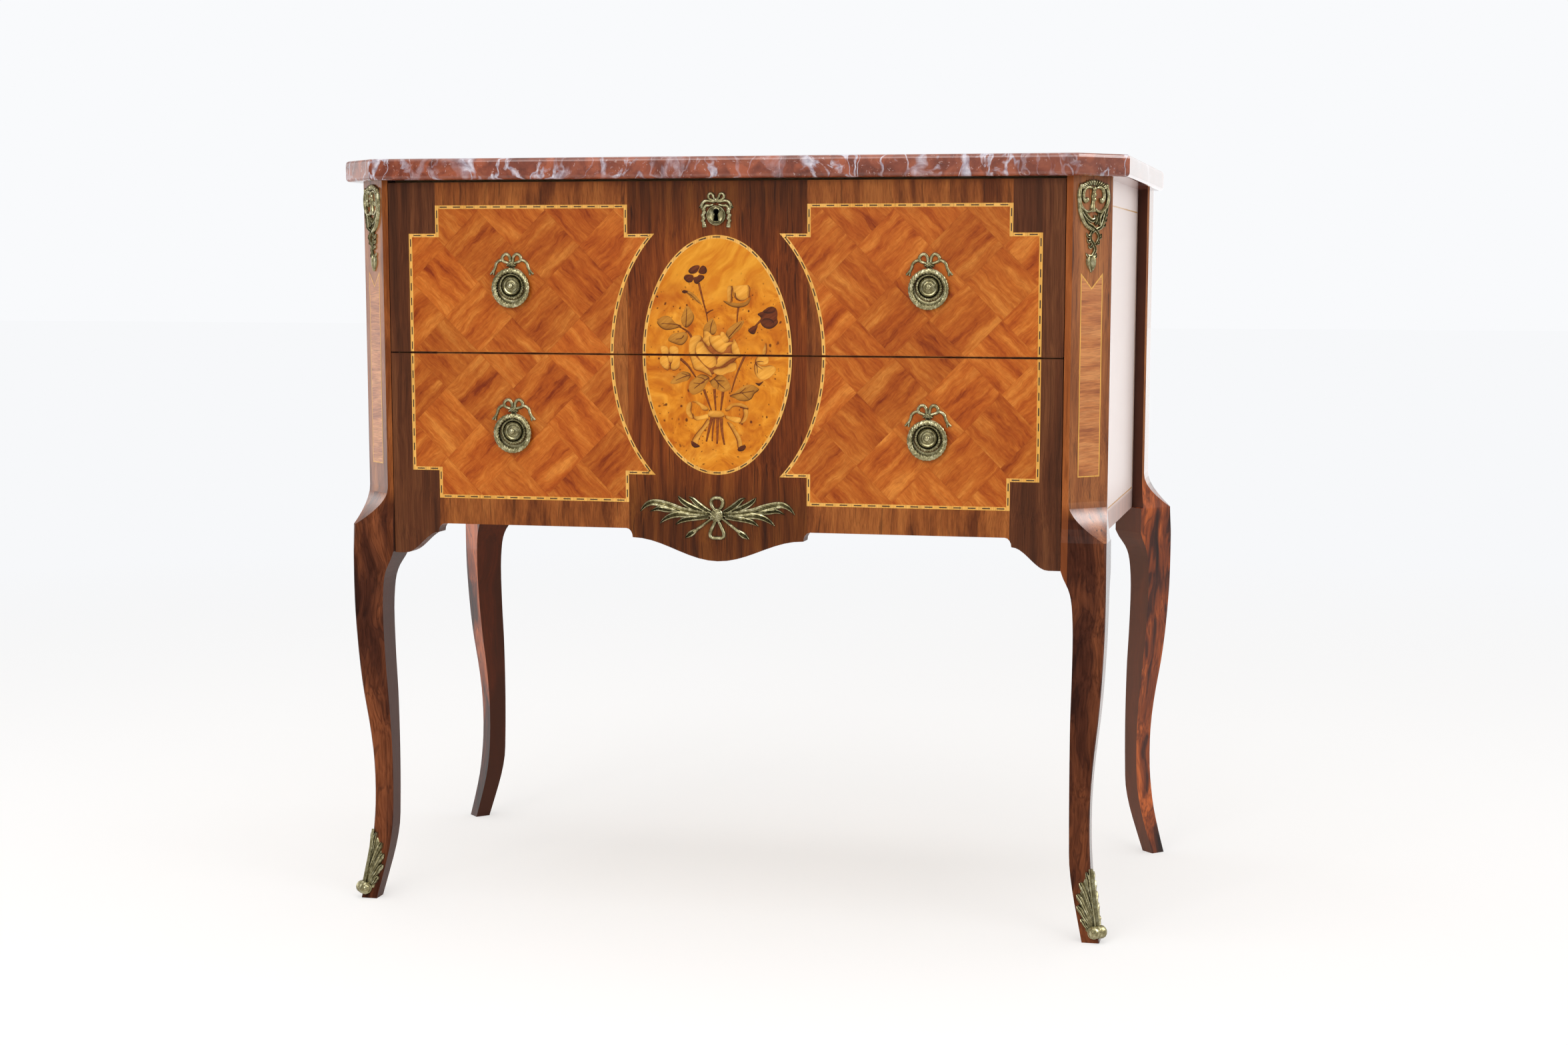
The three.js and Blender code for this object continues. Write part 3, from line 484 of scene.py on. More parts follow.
SLOT_FINISH = {
    "marble": marble(),
    "post_veneer": post_veneer(),
    "panel_veneer": side_veneer(),
    "front_marquetry": GROUND,
    "stained_pine": plain_wood("stained_pine", (120, 80, 50), (150, 106, 68)),
    "pine": plain_wood("pine", (196, 156, 104), (224, 188, 138)),
    "bronze": BRONZE,
    "iron": iron(),
}


def dress_cad():
    """Every CAD node that stays gets the finish of its material slot."""
    for subpart in frame["record"]["subparts"]:
        materials = nodes[subpart["node"]].data.materials
        materials.clear()
        materials.append(SLOT_FINISH[subpart["material_slot"]])


def show(name, data):
    """A new object in the scene."""
    shown = bpy.data.objects.new(name, data)
    bpy.context.scene.collection.objects.link(shown)
    return shown


def link(name, mesh, finish, body, sharp):
    """Makes a mesh into a named piece that rides on a body."""
    mesh.materials.append(finish)
    mesh.shade_smooth()
    mesh.set_sharp_from_angle(angle=math.radians(sharp))
    piece = show(name, mesh)
    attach(piece, body)
    return piece


def between(p, q, r, s, t):
    """The value of a smooth curve between q and r, where t runs from 0 to 1."""
    return 0.5 * (2 * q + (r - p) * t + (2 * p - 5 * q + 4 * r - s) * t * t + (3 * q - p - 3 * r + s) * t ** 3)


def curve(rows, steps):
    """Rows of numbers joined by a smooth curve, with some steps between two rows."""
    padded = [rows[0], *rows, rows[-1]]
    return [
        [between(*numbers, step / steps) for numbers in zip(*four)]
        for four in zip(padded, padded[1:], padded[2:], padded[3:]) for step in range(steps)
    ] + [list(rows[-1])]


def turns(count):
    """Equal steps of one full turn."""
    return [math.tau * k / count for k in range(count)]


def even(half):
    """A section from its right edge to its middle, and on to the left as a mirror image."""
    return half + [(-x, high) for x, high in half[-2::-1]]


ROUND = [(math.cos(turn), math.sin(turn)) for turn in turns(10)[:6]]
LEAF = even([(1.0, 0.0), (0.86, 0.62), (0.5, 0.72), (0.2, 0.5), (0.0, 1.0)])
LOBE = even([(1.0, 0.0), (0.92, 0.5), (0.6, 0.92), (0.25, 0.9), (0.0, 0.62)])


class Relief:
    """Raised ornament on a surface: x across it, z up it and a height off it, all in millimetres."""

    def __init__(self, place):
        self.place = place
        self.points = []
        self.faces = []

    def rings(self, rings, closed=False):
        """A skin over rings of points; its two ends are filled, or joined to each other."""
        first, count, rows = len(self.points), len(rings[0]), len(rings)
        self.points += [self.place(*point) for ring in rings for point in ring]
        for row in range(rows if closed else rows - 1):
            near = first + row * count
            far = first + (row + 1) % rows * count
            for k in range(count):
                after = (k + 1) % count
                self.faces.append((near + k, near + after, far + after, far + k))
        if not closed:
            for end in (first, first + (rows - 1) * count):
                self.faces.append(tuple(range(end, end + count)))

    def strand(self, *rows, section=ROUND, steps=4, floor=0.0, flip=1):
        """A band along a curve; each row is x, z, half width and height, and a flip of -1 mirrors it."""
        path = curve([(flip * x, *rest) for x, *rest in rows], steps)
        rings = []
        for index, (x, z, half, high) in enumerate(path):
            ahead = path[min(index + 1, len(path) - 1)]
            behind = path[max(index - 1, 0)]
            along = Vector((ahead[0] - behind[0], ahead[1] - behind[1])).normalized()
            rings.append([
                (x - along.y * half * u, z + along.x * half * u, floor + high * v) for u, v in section])
        self.rings(rings)

    def leaf(self, half, high, *points, flip=1):
        """A ribbed leaf along a curve, pointed at its tip."""
        rows = []
        for index, (x, z) in enumerate(points):
            share = index / (len(points) - 1)
            swell = max(0.08, math.sin(math.pi * (0.18 + 0.82 * share)) ** 0.7)
            rows.append((x, z, half * swell, high * (0.55 + 0.45 * swell)))
        self.strand(*rows, section=LEAF, flip=flip)

    def turned(self, profile, sides=48, x=0.0, z=0.0):
        """A turned disc; the profile runs from its rim at the back round to its middle."""
        self.rings([
            [(x + radius * math.cos(turn), z + radius * math.sin(turn), high) for turn in turns(sides)]
            for radius, high in profile])

    def ball(self, x, z, high, radius, tall, sides=10, layers=6):
        """A bead, flatter where it is less tall than wide."""
        leans = [math.pi * (0.04 + 0.92 * layer / layers) for layer in range(layers + 1)]
        self.turned([(radius * math.sin(lean), high - tall * math.cos(lean)) for lean in leans], sides, x, z)

    def piece(self, name, body, *replaced, finish=BRONZE, slot="bronze", sharp=50.0):
        """The ornament as a piece of the scene, in place of the CAD nodes that it stands for."""
        mesh = bpy.data.meshes.new(name)
        mesh.from_pydata(self.points, [], self.faces)
        bm = bmesh.new()
        bm.from_mesh(mesh)
        bmesh.ops.recalc_face_normals(bm, faces=bm.faces)
        bm.to_mesh(mesh)
        bm.free()
        piece = link(name, mesh, finish, body, sharp)
        if replaced:
            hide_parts(*replaced)


def in_space(x, y, z):
    return Vector((x, y, z)) * MM


def on_face(centre_x, centre_z):
    return lambda x, z, high: in_space(centre_x + x, FACE_Y - high, centre_z + z)


def on_cant(side):
    return lambda x, z, high: in_space(
        side * (CANT_X + (x + high) * DIAGONAL), CANT_Y + (x - high) * DIAGONAL, z)


def on_side(side):
    return lambda y, z, out: in_space(side * (SIDE_PANEL_X + out), y, z)


def foot_profile():
    """How far the front foot reaches from the middle at each height, read from its post."""
    reach = {}
    for vertex in nodes["front_post_right"].data.vertices:
        level = round(vertex.co.z / MM, 1)
        reach[level] = max(reach.get(level, 0.0), vertex.co.x / MM)
    return sorted(reach.items())


FOOT = foot_profile()


def foot_corner(level, lift=0.0):
    """Where the outer corner of a front foot is at a height: its x and its y."""
    reach = FOOT[0][1]
    for (low, near), (high, far) in zip(FOOT, FOOT[1:]):
        if low <= level <= high:
            reach = near + (far - near) * (level - low) / (high - low)
            break
    corner = reach + lift
    return corner, FACE_Y + POST_X - corner


def on_foot(side):
    """Both faces of a front foot: x runs from its outer edge, negative on the front, positive on the side."""

    def place(x, z, high):
        corner, front = foot_corner(z)
        across = x if x < 0 else high
        back = x if x > 0 else -high
        return in_space(side * (corner + across), front + back, z)

    return place


def make_handle(drawer, hand):
    """A backplate with a bow and a lobed rosette, the knob in its middle and the ring that hangs on it."""
    prefix = f"{drawer}_handle_{hand}"
    body = f"drawer_{drawer}"
    place = on_face(SIDES[hand] * HANDLE_X, HANDLE_Z[drawer])
    lobes, lean = 30, 0.16
    plate = Relief(place)
    plate.turned([
        (18.6, 0.0), (18.6, 0.7), (17.6, 0.9), (14.9, 0.6), (14.7, 1.8), (14.0, 3.2), (12.6, 4.0), (11.2, 3.4),
        (10.3, 1.6), (9.9, 2.0), (9.7, 4.0), (9.2, 4.7), (8.7, 4.2), (8.3, 3.0), (6.9, 2.7), (6.4, 3.5),
        (5.9, 3.7), (5.4, 3.2), (4.4, 3.3), (3.8, 4.2), (3.2, 4.4)])
    for turn in turns(lobes):
        lobe = (10.8, turn, 0.8, 3.3), (12.4, turn + lean / 2, 1.35, 4.7), (14.2, turn + lean, 1.1, 3.3)
        plate.strand(*(
            (reach * math.cos(bend), reach * math.sin(bend), half, high)
            for reach, bend, half, high in lobe), steps=2)
    for flip in (-1, 1):
        plate.strand(
            (1.1, 22.4, 1.6, 2.8), (1.5, 26.4, 1.7, 2.4), (2.2, 30.2, 1.8, 2.4), (4.8, 32.9, 1.9, 2.6),
            (8.1, 32.3, 1.9, 2.6), (10.3, 29.2, 1.9, 2.6), (9.4, 26.0, 1.8, 2.6), (5.6, 24.4, 1.7, 2.6),
            (1.6, 23.0, 1.6, 2.8), flip=flip)
        plate.strand(
            (9.0, 27.0, 1.7, 2.0), (13.4, 26.2, 1.8, 2.2), (16.8, 23.4, 1.8, 2.2), (18.0, 19.4, 1.7, 2.1),
            (19.5, 16.2, 1.8, 2.0), (20.4, 14.8, 1.8, 1.7), flip=flip)
        plate.strand((19.4, 16.4, 1.2, 2.0), (19.8, 13.6, 1.3, 1.9), (20.0, 11.2, 1.2, 1.5), steps=2, flip=flip)
        plate.strand((19.9, 16.4, 1.2, 2.0), (22.0, 13.8, 1.3, 1.9), (23.6, 12.0, 1.2, 1.5), steps=2, flip=flip)
        plate.strand((-5.0, 20.9, 1.1, 3.4), (-2.4, 22.2, 1.5, 4.8), (1.2, 24.8, 1.2, 4.2), flip=flip)
        plate.strand((-2.4, 20.7, 1.1, 3.8), (0.4, 22.0, 1.3, 5.0), (2.4, 24.2, 1.1, 4.2), flip=flip)
    plate.strand((0.0, 15.0, 3.0, 1.4), (0.0, 19.4, 3.2, 1.6), (0.0, 22.6, 2.6, 3.4))
    plate.piece(f"{prefix}_rosette", body, f"{prefix}_plate")
    knob = Relief(place)
    knob.turned([
        (2.2, 2.2), (3.2, 4.0), (3.4, 4.9), (2.2, 5.5), (3.0, 6.3), (3.2, 7.2), (2.4, 8.4), (0.9, 8.95)], 20)
    knob.piece(f"{prefix}_knob", body, f"{prefix}_bolt")
    ring = Relief(place)
    ring.rings(wreath_rings(), closed=True)
    ring.piece(f"{prefix}_bail", f"ring_{drawer}_{hand}", f"{prefix}_ring")


def wreath_rings():
    """A laurel wreath: rows of pointed leaves from its top down both sides, with a smooth binding on each."""
    around, about, leaves = 240, 20, 30
    mean, wire_wide, wire_deep, drop, level = 18.3, 2.55, 2.1, 2.2, 5.0
    rings = []
    for step, turn in enumerate(turns(around)):
        share = step / around
        run = abs(2 * ((share + 0.25) % 1.0) - 1.0)
        bound = min(abs(share - at) for at in (0.58, 0.92))
        ring = []
        for lap, angle in enumerate(turns(about)):
            row = 5 * lap / about
            lane = abs((row % 1.0) - 0.5) * 2
            along = (run * leaves / 2 + 0.5 * (int(row) % 2) - 0.4 * lane) % 1.0
            lift = 0.9 + 0.3 * (1 - along) * (1 - lane ** 2)
            if bound < 0.02:
                lift = 1.14 if bound > 0.008 else 1.06
            radius = mean + wire_wide * lift * math.cos(angle)
            high = level + wire_deep * lift * math.sin(angle)
            ring.append((radius * math.cos(turn), radius * math.sin(turn) - drop, high))
        rings.append(ring)
    return rings


def keyhole_points(sides):
    """The keyhole's edge, seen from its waist, in even turns; it stays inside the hole in the drawer front."""
    waist, slack = 1.0, 1e-9
    half = [
        (0.0, 7.0), (1.7, 6.5), (2.8, 5.3), (3.1, 4.0), (2.7, 2.7), (1.8, 1.5), (1.7, 0.4), (2.0, -1.6),
        (2.5, -4.6), (2.4, -5.6), (0.0, -5.9)]
    bearings = [math.atan2(x, z - waist) for x, z in half]
    bearings[0], bearings[-1] = 0.0, math.pi
    points = []
    for turn in turns(sides):
        flip = 1.0 if turn <= math.pi else -1.0
        folded = turn if flip > 0 else math.tau - turn
        for near, far, (x, z), (next_x, next_z) in zip(bearings, bearings[1:], half, half[1:]):
            if folded <= far + slack:
                share = (folded - near) / (far - near)
                points.append((flip * (x + (next_x - x) * share), z + (next_z - z) * share))
                break
    return points


def make_escutcheon():
    """A rimmed disc round the keyhole, under a bow with a swag of leaves and beads on either side."""
    relief = Relief(on_face(0.0, KEYHOLE_Z))
    sides = 56
    circle = [(math.sin(turn), math.cos(turn)) for turn in turns(sides)]
    hole = keyhole_points(sides)
    rings = [[(x * radius, z * radius, high) for x, z in circle] for radius, high in (
        (9.8, 0.0), (10.3, 0.6), (10.3, 1.8), (9.8, 2.6), (9.1, 2.3), (8.8, 1.6), (8.3, 2.2), (7.8, 1.9),
        (7.4, 0.8), (6.9, 0.6))]
    for grow, high in ((1.3, 1.2), (1.0, 2.0), (0.5, 2.1), (0.0, 1.7), (0.0, 0.0)):
        rings.append([(x + u * grow, z + w * grow, high) for (x, z), (u, w) in zip(hole, circle)])
    relief.rings(rings, closed=True)
    for flip in (-1, 1):
        relief.strand(
            (0.8, 15.6, 1.7, 2.5), (2.6, 18.6, 1.7, 2.4), (3.9, 21.6, 1.7, 2.4), (6.3, 22.4, 1.7, 2.4),
            (8.4, 20.4, 1.7, 2.4), (7.4, 17.2, 1.7, 2.4), (4.4, 15.6, 1.6, 2.4), (1.2, 15.0, 1.6, 2.5),
            flip=flip)
        relief.strand(
            (1.4, 14.2, 1.8, 2.0), (6.0, 14.4, 1.6, 2.1), (10.4, 15.0, 1.8, 2.2), (13.8, 13.4, 2.0, 2.3),
            (15.2, 10.2, 2.0, 2.3), (15.0, 7.4, 2.0, 2.2), flip=flip)
        relief.strand(
            (3.0, 11.0, 1.4, 2.0), (7.0, 10.0, 1.5, 2.1), (10.8, 10.0, 1.9, 2.2), (13.0, 7.8, 2.0, 2.2),
            flip=flip)
        relief.leaf(1.7, 2.4, (13.6, 9.4), (16.4, 8.8), (18.0, 7.4), flip=flip)
        for x, z, radius in (
                (13.3, 6.4, 2.6), (12.7, 3.2, 2.6), (14.0, 0.2, 2.5), (13.2, -2.6, 2.5), (14.2, -5.2, 2.2),
                (13.2, -7.4, 2.1)):
            relief.ball(flip * x, z, 0.7, radius, 2.0)
        relief.strand(
            (13.2, -7.2, 2.0, 2.0), (12.9, -9.4, 2.4, 2.3), (12.6, -12.0, 2.6, 1.8), steps=2, flip=flip)
    relief.ball(0.0, 15.6, 1.4, 2.6, 2.0)
    relief.piece("escutcheon_bow", "drawer_upper", "escutcheon")


def make_corner_mount(hand):
    """A shell and scrolls at the top of a canted corner, with leafy stems that hang down from them."""
    top, ribs, fan = 775.4, 13, 1.2
    cant = on_cant(SIDES[hand])
    relief = Relief(lambda x, drop, high: cant(x, top - drop, high))
    for rib in range(ribs):
        turn = (rib / (ribs - 1) * 2 - 1) * fan
        across, up = math.sin(turn), math.cos(turn)
        relief.strand(
            (9.5 * across, 11.0 - 5.0 * up, 1.0, 1.8), (14.0 * across, 12.2 - 9.4 * up, 1.5, 3.0),
            (17.8 * across, 13.0 - 12.4 * up, 1.8, 2.2), steps=3)
    for flip in (-1, 1):
        relief.strand(
            (16.2, 7.0, 2.0, 3.0), (18.0, 13.0, 2.1, 3.4), (18.2, 20.0, 2.2, 3.6), (16.0, 27.0, 2.2, 3.6),
            (11.0, 31.4, 2.0, 3.4), (5.5, 32.0, 1.7, 3.0), (2.0, 29.0, 1.6, 2.8), flip=flip)
        relief.strand(
            (2.5, 8.6, 1.6, 2.8), (7.0, 7.8, 1.9, 3.0), (11.0, 9.6, 2.0, 3.0), (13.0, 14.0, 2.0, 3.0),
            (12.8, 19.4, 2.0, 3.0), (10.4, 22.2, 2.0, 3.0), (8.4, 20.6, 1.7, 2.8), flip=flip)
        relief.ball(flip * 9.2, 20.4, 1.8, 2.6, 2.2)
        relief.ball(flip * 15.4, 6.6, 1.4, 3.0, 2.4)
    relief.strand(
        (0, 7, 2.6, 2.8), (0.4, 12, 2.0, 3.0), (-0.4, 17, 2.8, 3.4), (-0.8, 22, 2.1, 3.0), (-1.0, 28, 3.0, 3.4),
        (-0.4, 32, 3.6, 3.4))
    for drop, radius in ((9.6, 2.6), (15.4, 2.4), (20.0, 2.1)):
        relief.ball(0.0, drop, 2.4, radius, 1.6)
    relief.strand(
        (-18.4, 22.0, 1.5, 2.8), (-17.6, 30.0, 1.8, 3.2), (-14.4, 38.0, 2.0, 3.4), (-10.4, 44.4, 2.0, 3.4),
        (-5.0, 48.8, 1.8, 3.2), (-0.6, 51.0, 1.4, 2.8))
    relief.strand(
        (-15.4, 28.0, 1.8, 3.0), (-12.0, 33.4, 2.3, 3.6), (-7.4, 38.0, 2.5, 3.8), (-2.2, 40.8, 2.3, 3.8),
        (1.8, 39.2, 2.0, 3.4), (1.8, 35.4, 1.7, 3.0), section=LEAF)
    relief.strand(
        (-12.4, 38.6, 1.6, 3.0), (-7.4, 44.0, 2.2, 3.6), (-2.0, 46.8, 2.2, 3.6), (3.4, 50.4, 1.9, 3.2),
        (6.8, 54.8, 1.8, 3.0), (6.6, 59.4, 1.7, 3.0), (3.6, 64.0, 1.6, 2.8), section=LEAF)
    relief.strand(
        (18.0, 22.0, 1.6, 3.0), (16.2, 30.0, 2.0, 3.4), (13.8, 36.6, 2.2, 3.6), (12.0, 42.2, 2.2, 3.6),
        (9.4, 47.2, 2.1, 3.4), (4.4, 49.6, 1.9, 3.2), (-0.6, 51.4, 1.8, 3.0), (-3.4, 55.2, 1.8, 3.0),
        (-2.8, 60.0, 1.9, 3.0), (0.6, 64.4, 2.0, 3.0), (2.6, 69.0, 2.1, 3.0), (1.0, 73.4, 2.0, 3.0),
        (-1.8, 76.6, 1.8, 2.6), section=LEAF)
    relief.strand((13.4, 29.4, 1.4, 2.8), (9.6, 34.4, 1.7, 3.2), (7.6, 39.6, 1.8, 3.2), (8.6, 45.0, 1.6, 3.0))
    relief.leaf(2.4, 3.8, (2.6, 45.0), (5.4, 40.0), (6.4, 33.6))
    for half, *points in (
            (2.0, (-6.0, 40.0), (-10.4, 42.6), (-14.4, 40.4)), (1.8, (12.6, 33.0), (16.0, 36.0), (18.4, 33.8)),
            (1.8, (12.0, 38.0), (15.0, 41.0), (17.2, 38.8)), (1.7, (10.8, 43.0), (13.8, 46.0), (15.6, 43.8)),
            (1.8, (-3.2, 55.0), (-6.4, 56.6), (-8.4, 52.8)), (1.8, (-2.6, 59.6), (-5.6, 62.0), (-7.4, 58.8)),
            (1.8, (-0.6, 64.0), (-3.6, 67.6), (-5.8, 64.6)), (1.6, (6.0, 58.0), (9.2, 57.4), (10.6, 53.6)),
            (1.5, (4.4, 64.0), (7.0, 63.0), (8.0, 59.8)), (2.2, (0.0, 75.6), (-5.0, 76.6), (-8.8, 72.6)),
            (1.6, (1.0, 76.6), (3.6, 76.6), (4.8, 73.0))):
        relief.leaf(half, 3.0, *points)
    relief.leaf(6.2, 3.6, (-2.2, 75.6), (-2.0, 80.0), (-1.6, 86.0), (-1.6, 92.0))
    relief.piece(f"corner_ornament_{hand}", "case", f"corner_mount_{hand}")


def make_spray():
    """Leafy branches that spread from a bound knot in the middle of the apron."""
    middle_z, spread, reach = 432.0, 2.6, 6.4
    relief = Relief(on_face(0.0, middle_z))
    for flip in (-1, 1):
        for half, *points in (
                (4.4, (7, 1), (22, 1.5), (38, 4), (53, 9), (68, 12), (77, 9), (83.2, 2)),
                (2.9, (40, 4), (54, 4.5), (64, 5.5), (72.5, 2.2)),
                (3.6, (9, -0.6), (24, -0.8), (38, 0.2), (48, -1.2), (56, -5), (62, -10)),
                (3.1, (9, -2), (20, -3), (31, -4.4), (39, -7), (45, -11)),
                (3.3, (7, 3), (14, 6.6), (21, 11.6), (26, 16.2), (30.5, 18.6)),
                (3.2, (13, 2.6), (24, 6.8), (33, 11.2), (39, 15.6), (42, 19.4)),
                (3.3, (23, -16.6), (29, -20.6), (34.5, -24.6))):
            relief.leaf(half, 3.6, *points, flip=flip)
        relief.strand(
            (4.0, -2.0, 1.8, 3.0), (12.0, -8.2, 1.8, 3.0), (21.0, -15.0, 1.9, 3.0), (25.0, -18.0, 2.3, 3.4),
            flip=flip)
        relief.ball(flip * 63.0, 8.4, 2.6, 1.3, 0.9)
        relief.strand(
            (1.0, 5.0, 1.7, 3.0), (5.2, 9.0, 2.1, 3.4), (6.2, 14.5, 2.2, 3.6), (3.4, 17.8, 2.1, 3.4),
            (0.0, 18.0, 2.0, 3.2), flip=flip)
        relief.strand(
            (1.0, -5.0, 1.8, 3.0), (4.0, -11.0, 2.0, 3.2), (7.4, -19.0, 2.2, 3.4), (6.0, -23.4, 2.1, 3.4),
            (0.0, -24.0, 2.0, 3.2), flip=flip)
    relief.ball(0.0, 0.0, 1.8, 7.2, 3.0, 18, 8)
    for turn in (0.7, -0.7):
        along = Vector((math.cos(turn), math.sin(turn)))
        for shift in (-spread, 0.0, spread):
            aside = Vector((-along.y, along.x)) * shift
            relief.strand(*(
                (*(aside + along * run), half, high) for run, half, high in (
                    (-reach, 1.0, 1.2), (0.0, 1.2, 2.0), (reach, 1.0, 1.2))), floor=3.2)
    relief.piece("apron_spray", "drawer_lower", "apron_mount")


def make_sabot(hand):
    """An acanthus shell round the corner of a front foot, with broad curled lobes and a scroll at its toe."""
    side = SIDES[hand]
    relief = Relief(on_foot(side))
    for flip in (-1, 1):
        relief.strand(
            (6.2, 12.0, 5.8, 1.8), (7.2, 24.0, 6.7, 2.2), (7.6, 36.0, 7.1, 2.3), (6.8, 48.0, 6.3, 2.3),
            (4.8, 59.0, 4.4, 2.1), (2.6, 68.0, 2.2, 1.8), steps=3, flip=flip)
        for half, *points in (
                (3.4, (7.4, 12.0), (11.6, 17.6), (15.0, 24.4)), (4.2, (5.6, 14.0), (11.2, 26.0), (17.0, 37.2)),
                (4.6, (4.2, 18.0), (9.4, 35.0), (15.6, 49.0)), (4.4, (2.8, 26.0), (6.2, 45.0), (11.6, 61.0)),
                (3.0, (2.2, 38.0), (2.6, 56.0), (4.4, 72.0))):
            base, middle, tip = [Vector(point) for point in points]
            near = (base + middle) / 2 - Vector((0.5, 0.0))
            far = (middle + tip) / 2 - Vector((0.6, 0.0))
            relief.strand(*(
                (*point, half * share, high) for point, share, high in (
                    (base, 0.3, 1.6), (near, 0.5, 2.8), (middle, 0.72, 3.4), (far, 0.86, 3.6),
                    ((far + tip) / 2, 0.84, 4.2), (tip, 0.4, 3.6))), section=LOBE, flip=flip)
        relief.strand((1.3, 12.0, 1.2, 3.4), (1.3, 42.0, 1.2, 3.4), (1.3, 75.0, 0.9, 2.6), steps=8, flip=flip)
    relief.piece(f"sabot_leaf_{hand}", "case", f"sabot_{hand}")
    level, stand, sides = 11.2, -0.4, 24
    corner, front = foot_corner(level, stand * DIAGONAL)
    half = [
        (0.0, 7.2), (0.9, 7.0), (1.4, 6.4), (3.4, 6.9), (5.6, 7.0), (7.2, 6.5), (8.6, 5.4), (8.5, 4.2),
        (9.4, 3.4), (9.8, 2.2), (9.9, 0.6)]
    profile = [(-along, radius) for along, radius in reversed(half)] + half[1:]
    scroll = Relief(in_space)
    scroll.rings([
        [(side * (corner + (along + radius * math.cos(turn)) * DIAGONAL),
          front + (along - radius * math.cos(turn)) * DIAGONAL, level + radius * math.sin(turn))
         for turn in turns(sides)]
        for along, radius in profile])
    scroll.piece(f"sabot_scroll_{hand}", "case")


def make_knee(hand):
    """The veneered scoop where the cant of a front post runs out into the square leg below."""
    top, start, drop, steps = 453.0, 4.0, 40.0, 36
    lift, root, rise = 0.3, -0.1, 8.0
    cant_wide, hollow, swell = 35.5, 0.02644, 0.000147
    buried = -0.6 * DIAGONAL
    rings = []
    for step in range(steps + 1):
        down = start + (drop - start) * step / steps
        corner, front = foot_corner(top - down)
        cant = cant_wide - hollow * down ** 2 + swell * down ** 3
        raised = (min(1.0, (down - start) / rise) * (lift - root) + root) * DIAGONAL
        rings.append([
            (SIDES[hand] * (corner - cant * (1 - end) + out), front + cant * end - out, top - down)
            for out, ends in ((raised, (0.0, 0.5, 1.0)), (buried, (1.0, 0.5, 0.0))) for end in ends])
    relief = Relief(in_space)
    relief.rings(rings)
    relief.piece(f"knee_{hand}", "case", finish=KNEE, slot="post_veneer", sharp=60.0)


def make_lips():
    """Thin lippings on the drawer fronts that narrow the gap between them."""
    thick, deep, rooted, short = 0.6, 7.0, 0.3, 0.3
    for drawer, level, down in (("upper", GAP_HIGH, 1), ("lower", GAP_LOW, -1)):
        low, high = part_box(f"{drawer}_drawer_front")
        near, far = level + rooted * down, level - thick * down
        relief = Relief(in_space)
        relief.rings([
            [(x, FACE_Y, near), (x, FACE_Y + deep, near), (x, FACE_Y + deep, far), (x, FACE_Y, far)]
            for x in (low.x / MM + short, high.x / MM - short)])
        relief.piece(
            f"{drawer}_front_lip", f"drawer_{drawer}", finish=GROUND, slot="front_marquetry", sharp=30.0)


def inset(outline, distance):
    """A closed outline moved inwards with sharp corners; it runs anticlockwise."""
    moved = []
    for before, here, after in zip(outline[-1:] + outline[:-1], outline, outline[1:] + outline[:1]):
        here = Vector(here)
        into = (here - Vector(before)).normalized()
        out = (Vector(after) - here).normalized()
        left_in = Vector((-into.y, into.x))
        left_out = Vector((-out.y, out.x))
        moved.append(tuple(here + (left_in + left_out) * (distance / (1 + left_in.dot(left_out)))))
    return moved


def ellipse(wide, high, start, end, count):
    """Points of an arc about the oval's middle, both ends included."""
    return [
        (wide * math.cos(turn), OVAL_Z + high * math.sin(turn))
        for turn in (start + (end - start) * k / count for k in range(count + 1))]


def panel_outline():
    """The right-hand panel: stepped corners outside, and a hollow side that follows the oval."""
    tip, near, far, edge = 66.5, 95.6, 306.5, 336.4
    foot, foot_step, head_step, head, head_tip = 443.6, 473.0, 722.6, 752.0, 722.0
    turn, steps = math.acos(tip / COVE_WIDE), 36
    return ellipse(COVE_WIDE, COVE_HIGH, turn, -turn, steps) + [
        (near, foot_step), (near, foot), (far, foot), (far, foot_step), (edge, foot_step),
        (edge, head_step), (far, head_step), (far, head), (near, head), (near, head_tip)]


def band(outer, inner):
    """The quads between two closed outlines."""
    count = len(outer)
    return [[outer[k], outer[(k + 1) % count], inner[(k + 1) % count], inner[k]] for k in range(count)]


def dashes(path, smooth):
    """Short dark strips along a closed path; the points numbered in smooth join into one run."""
    period, length, half = 15.0, 8.0, 0.6
    count = len(path)
    runs = []
    current = [Vector(path[0])]
    for k in range(1, count + 1):
        current.append(Vector(path[k % count]))
        if k % count not in smooth:
            runs.append(current)
            current = current[-1:]
    if len(current) > 1:
        runs.append(current)
    strips = []
    for run in runs:
        lengths = [0.0]
        for a, b in zip(run, run[1:]):
            lengths.append(lengths[-1] + (b - a).length)
        number = max(1, round(lengths[-1] / period))
        for k in range(number):
            centre = (k + 0.5) * lengths[-1] / number
            start, end = [point_at(run, lengths, centre + flip * length / 2) for flip in (-1, 1)]
            along = (end - start).normalized()
            side = Vector((-along.y, along.x)) * half
            strips.append([tuple(corner) for corner in (start - side, end - side, end + side, start + side)])
    return strips


def point_at(run, lengths, distance):
    """The point of a run at a distance from its start."""
    for a, b, near, far in zip(run, run[1:], lengths, lengths[1:]):
        if distance <= far:
            return a.lerp(b, (distance - near) / (far - near))
    return run[-1]


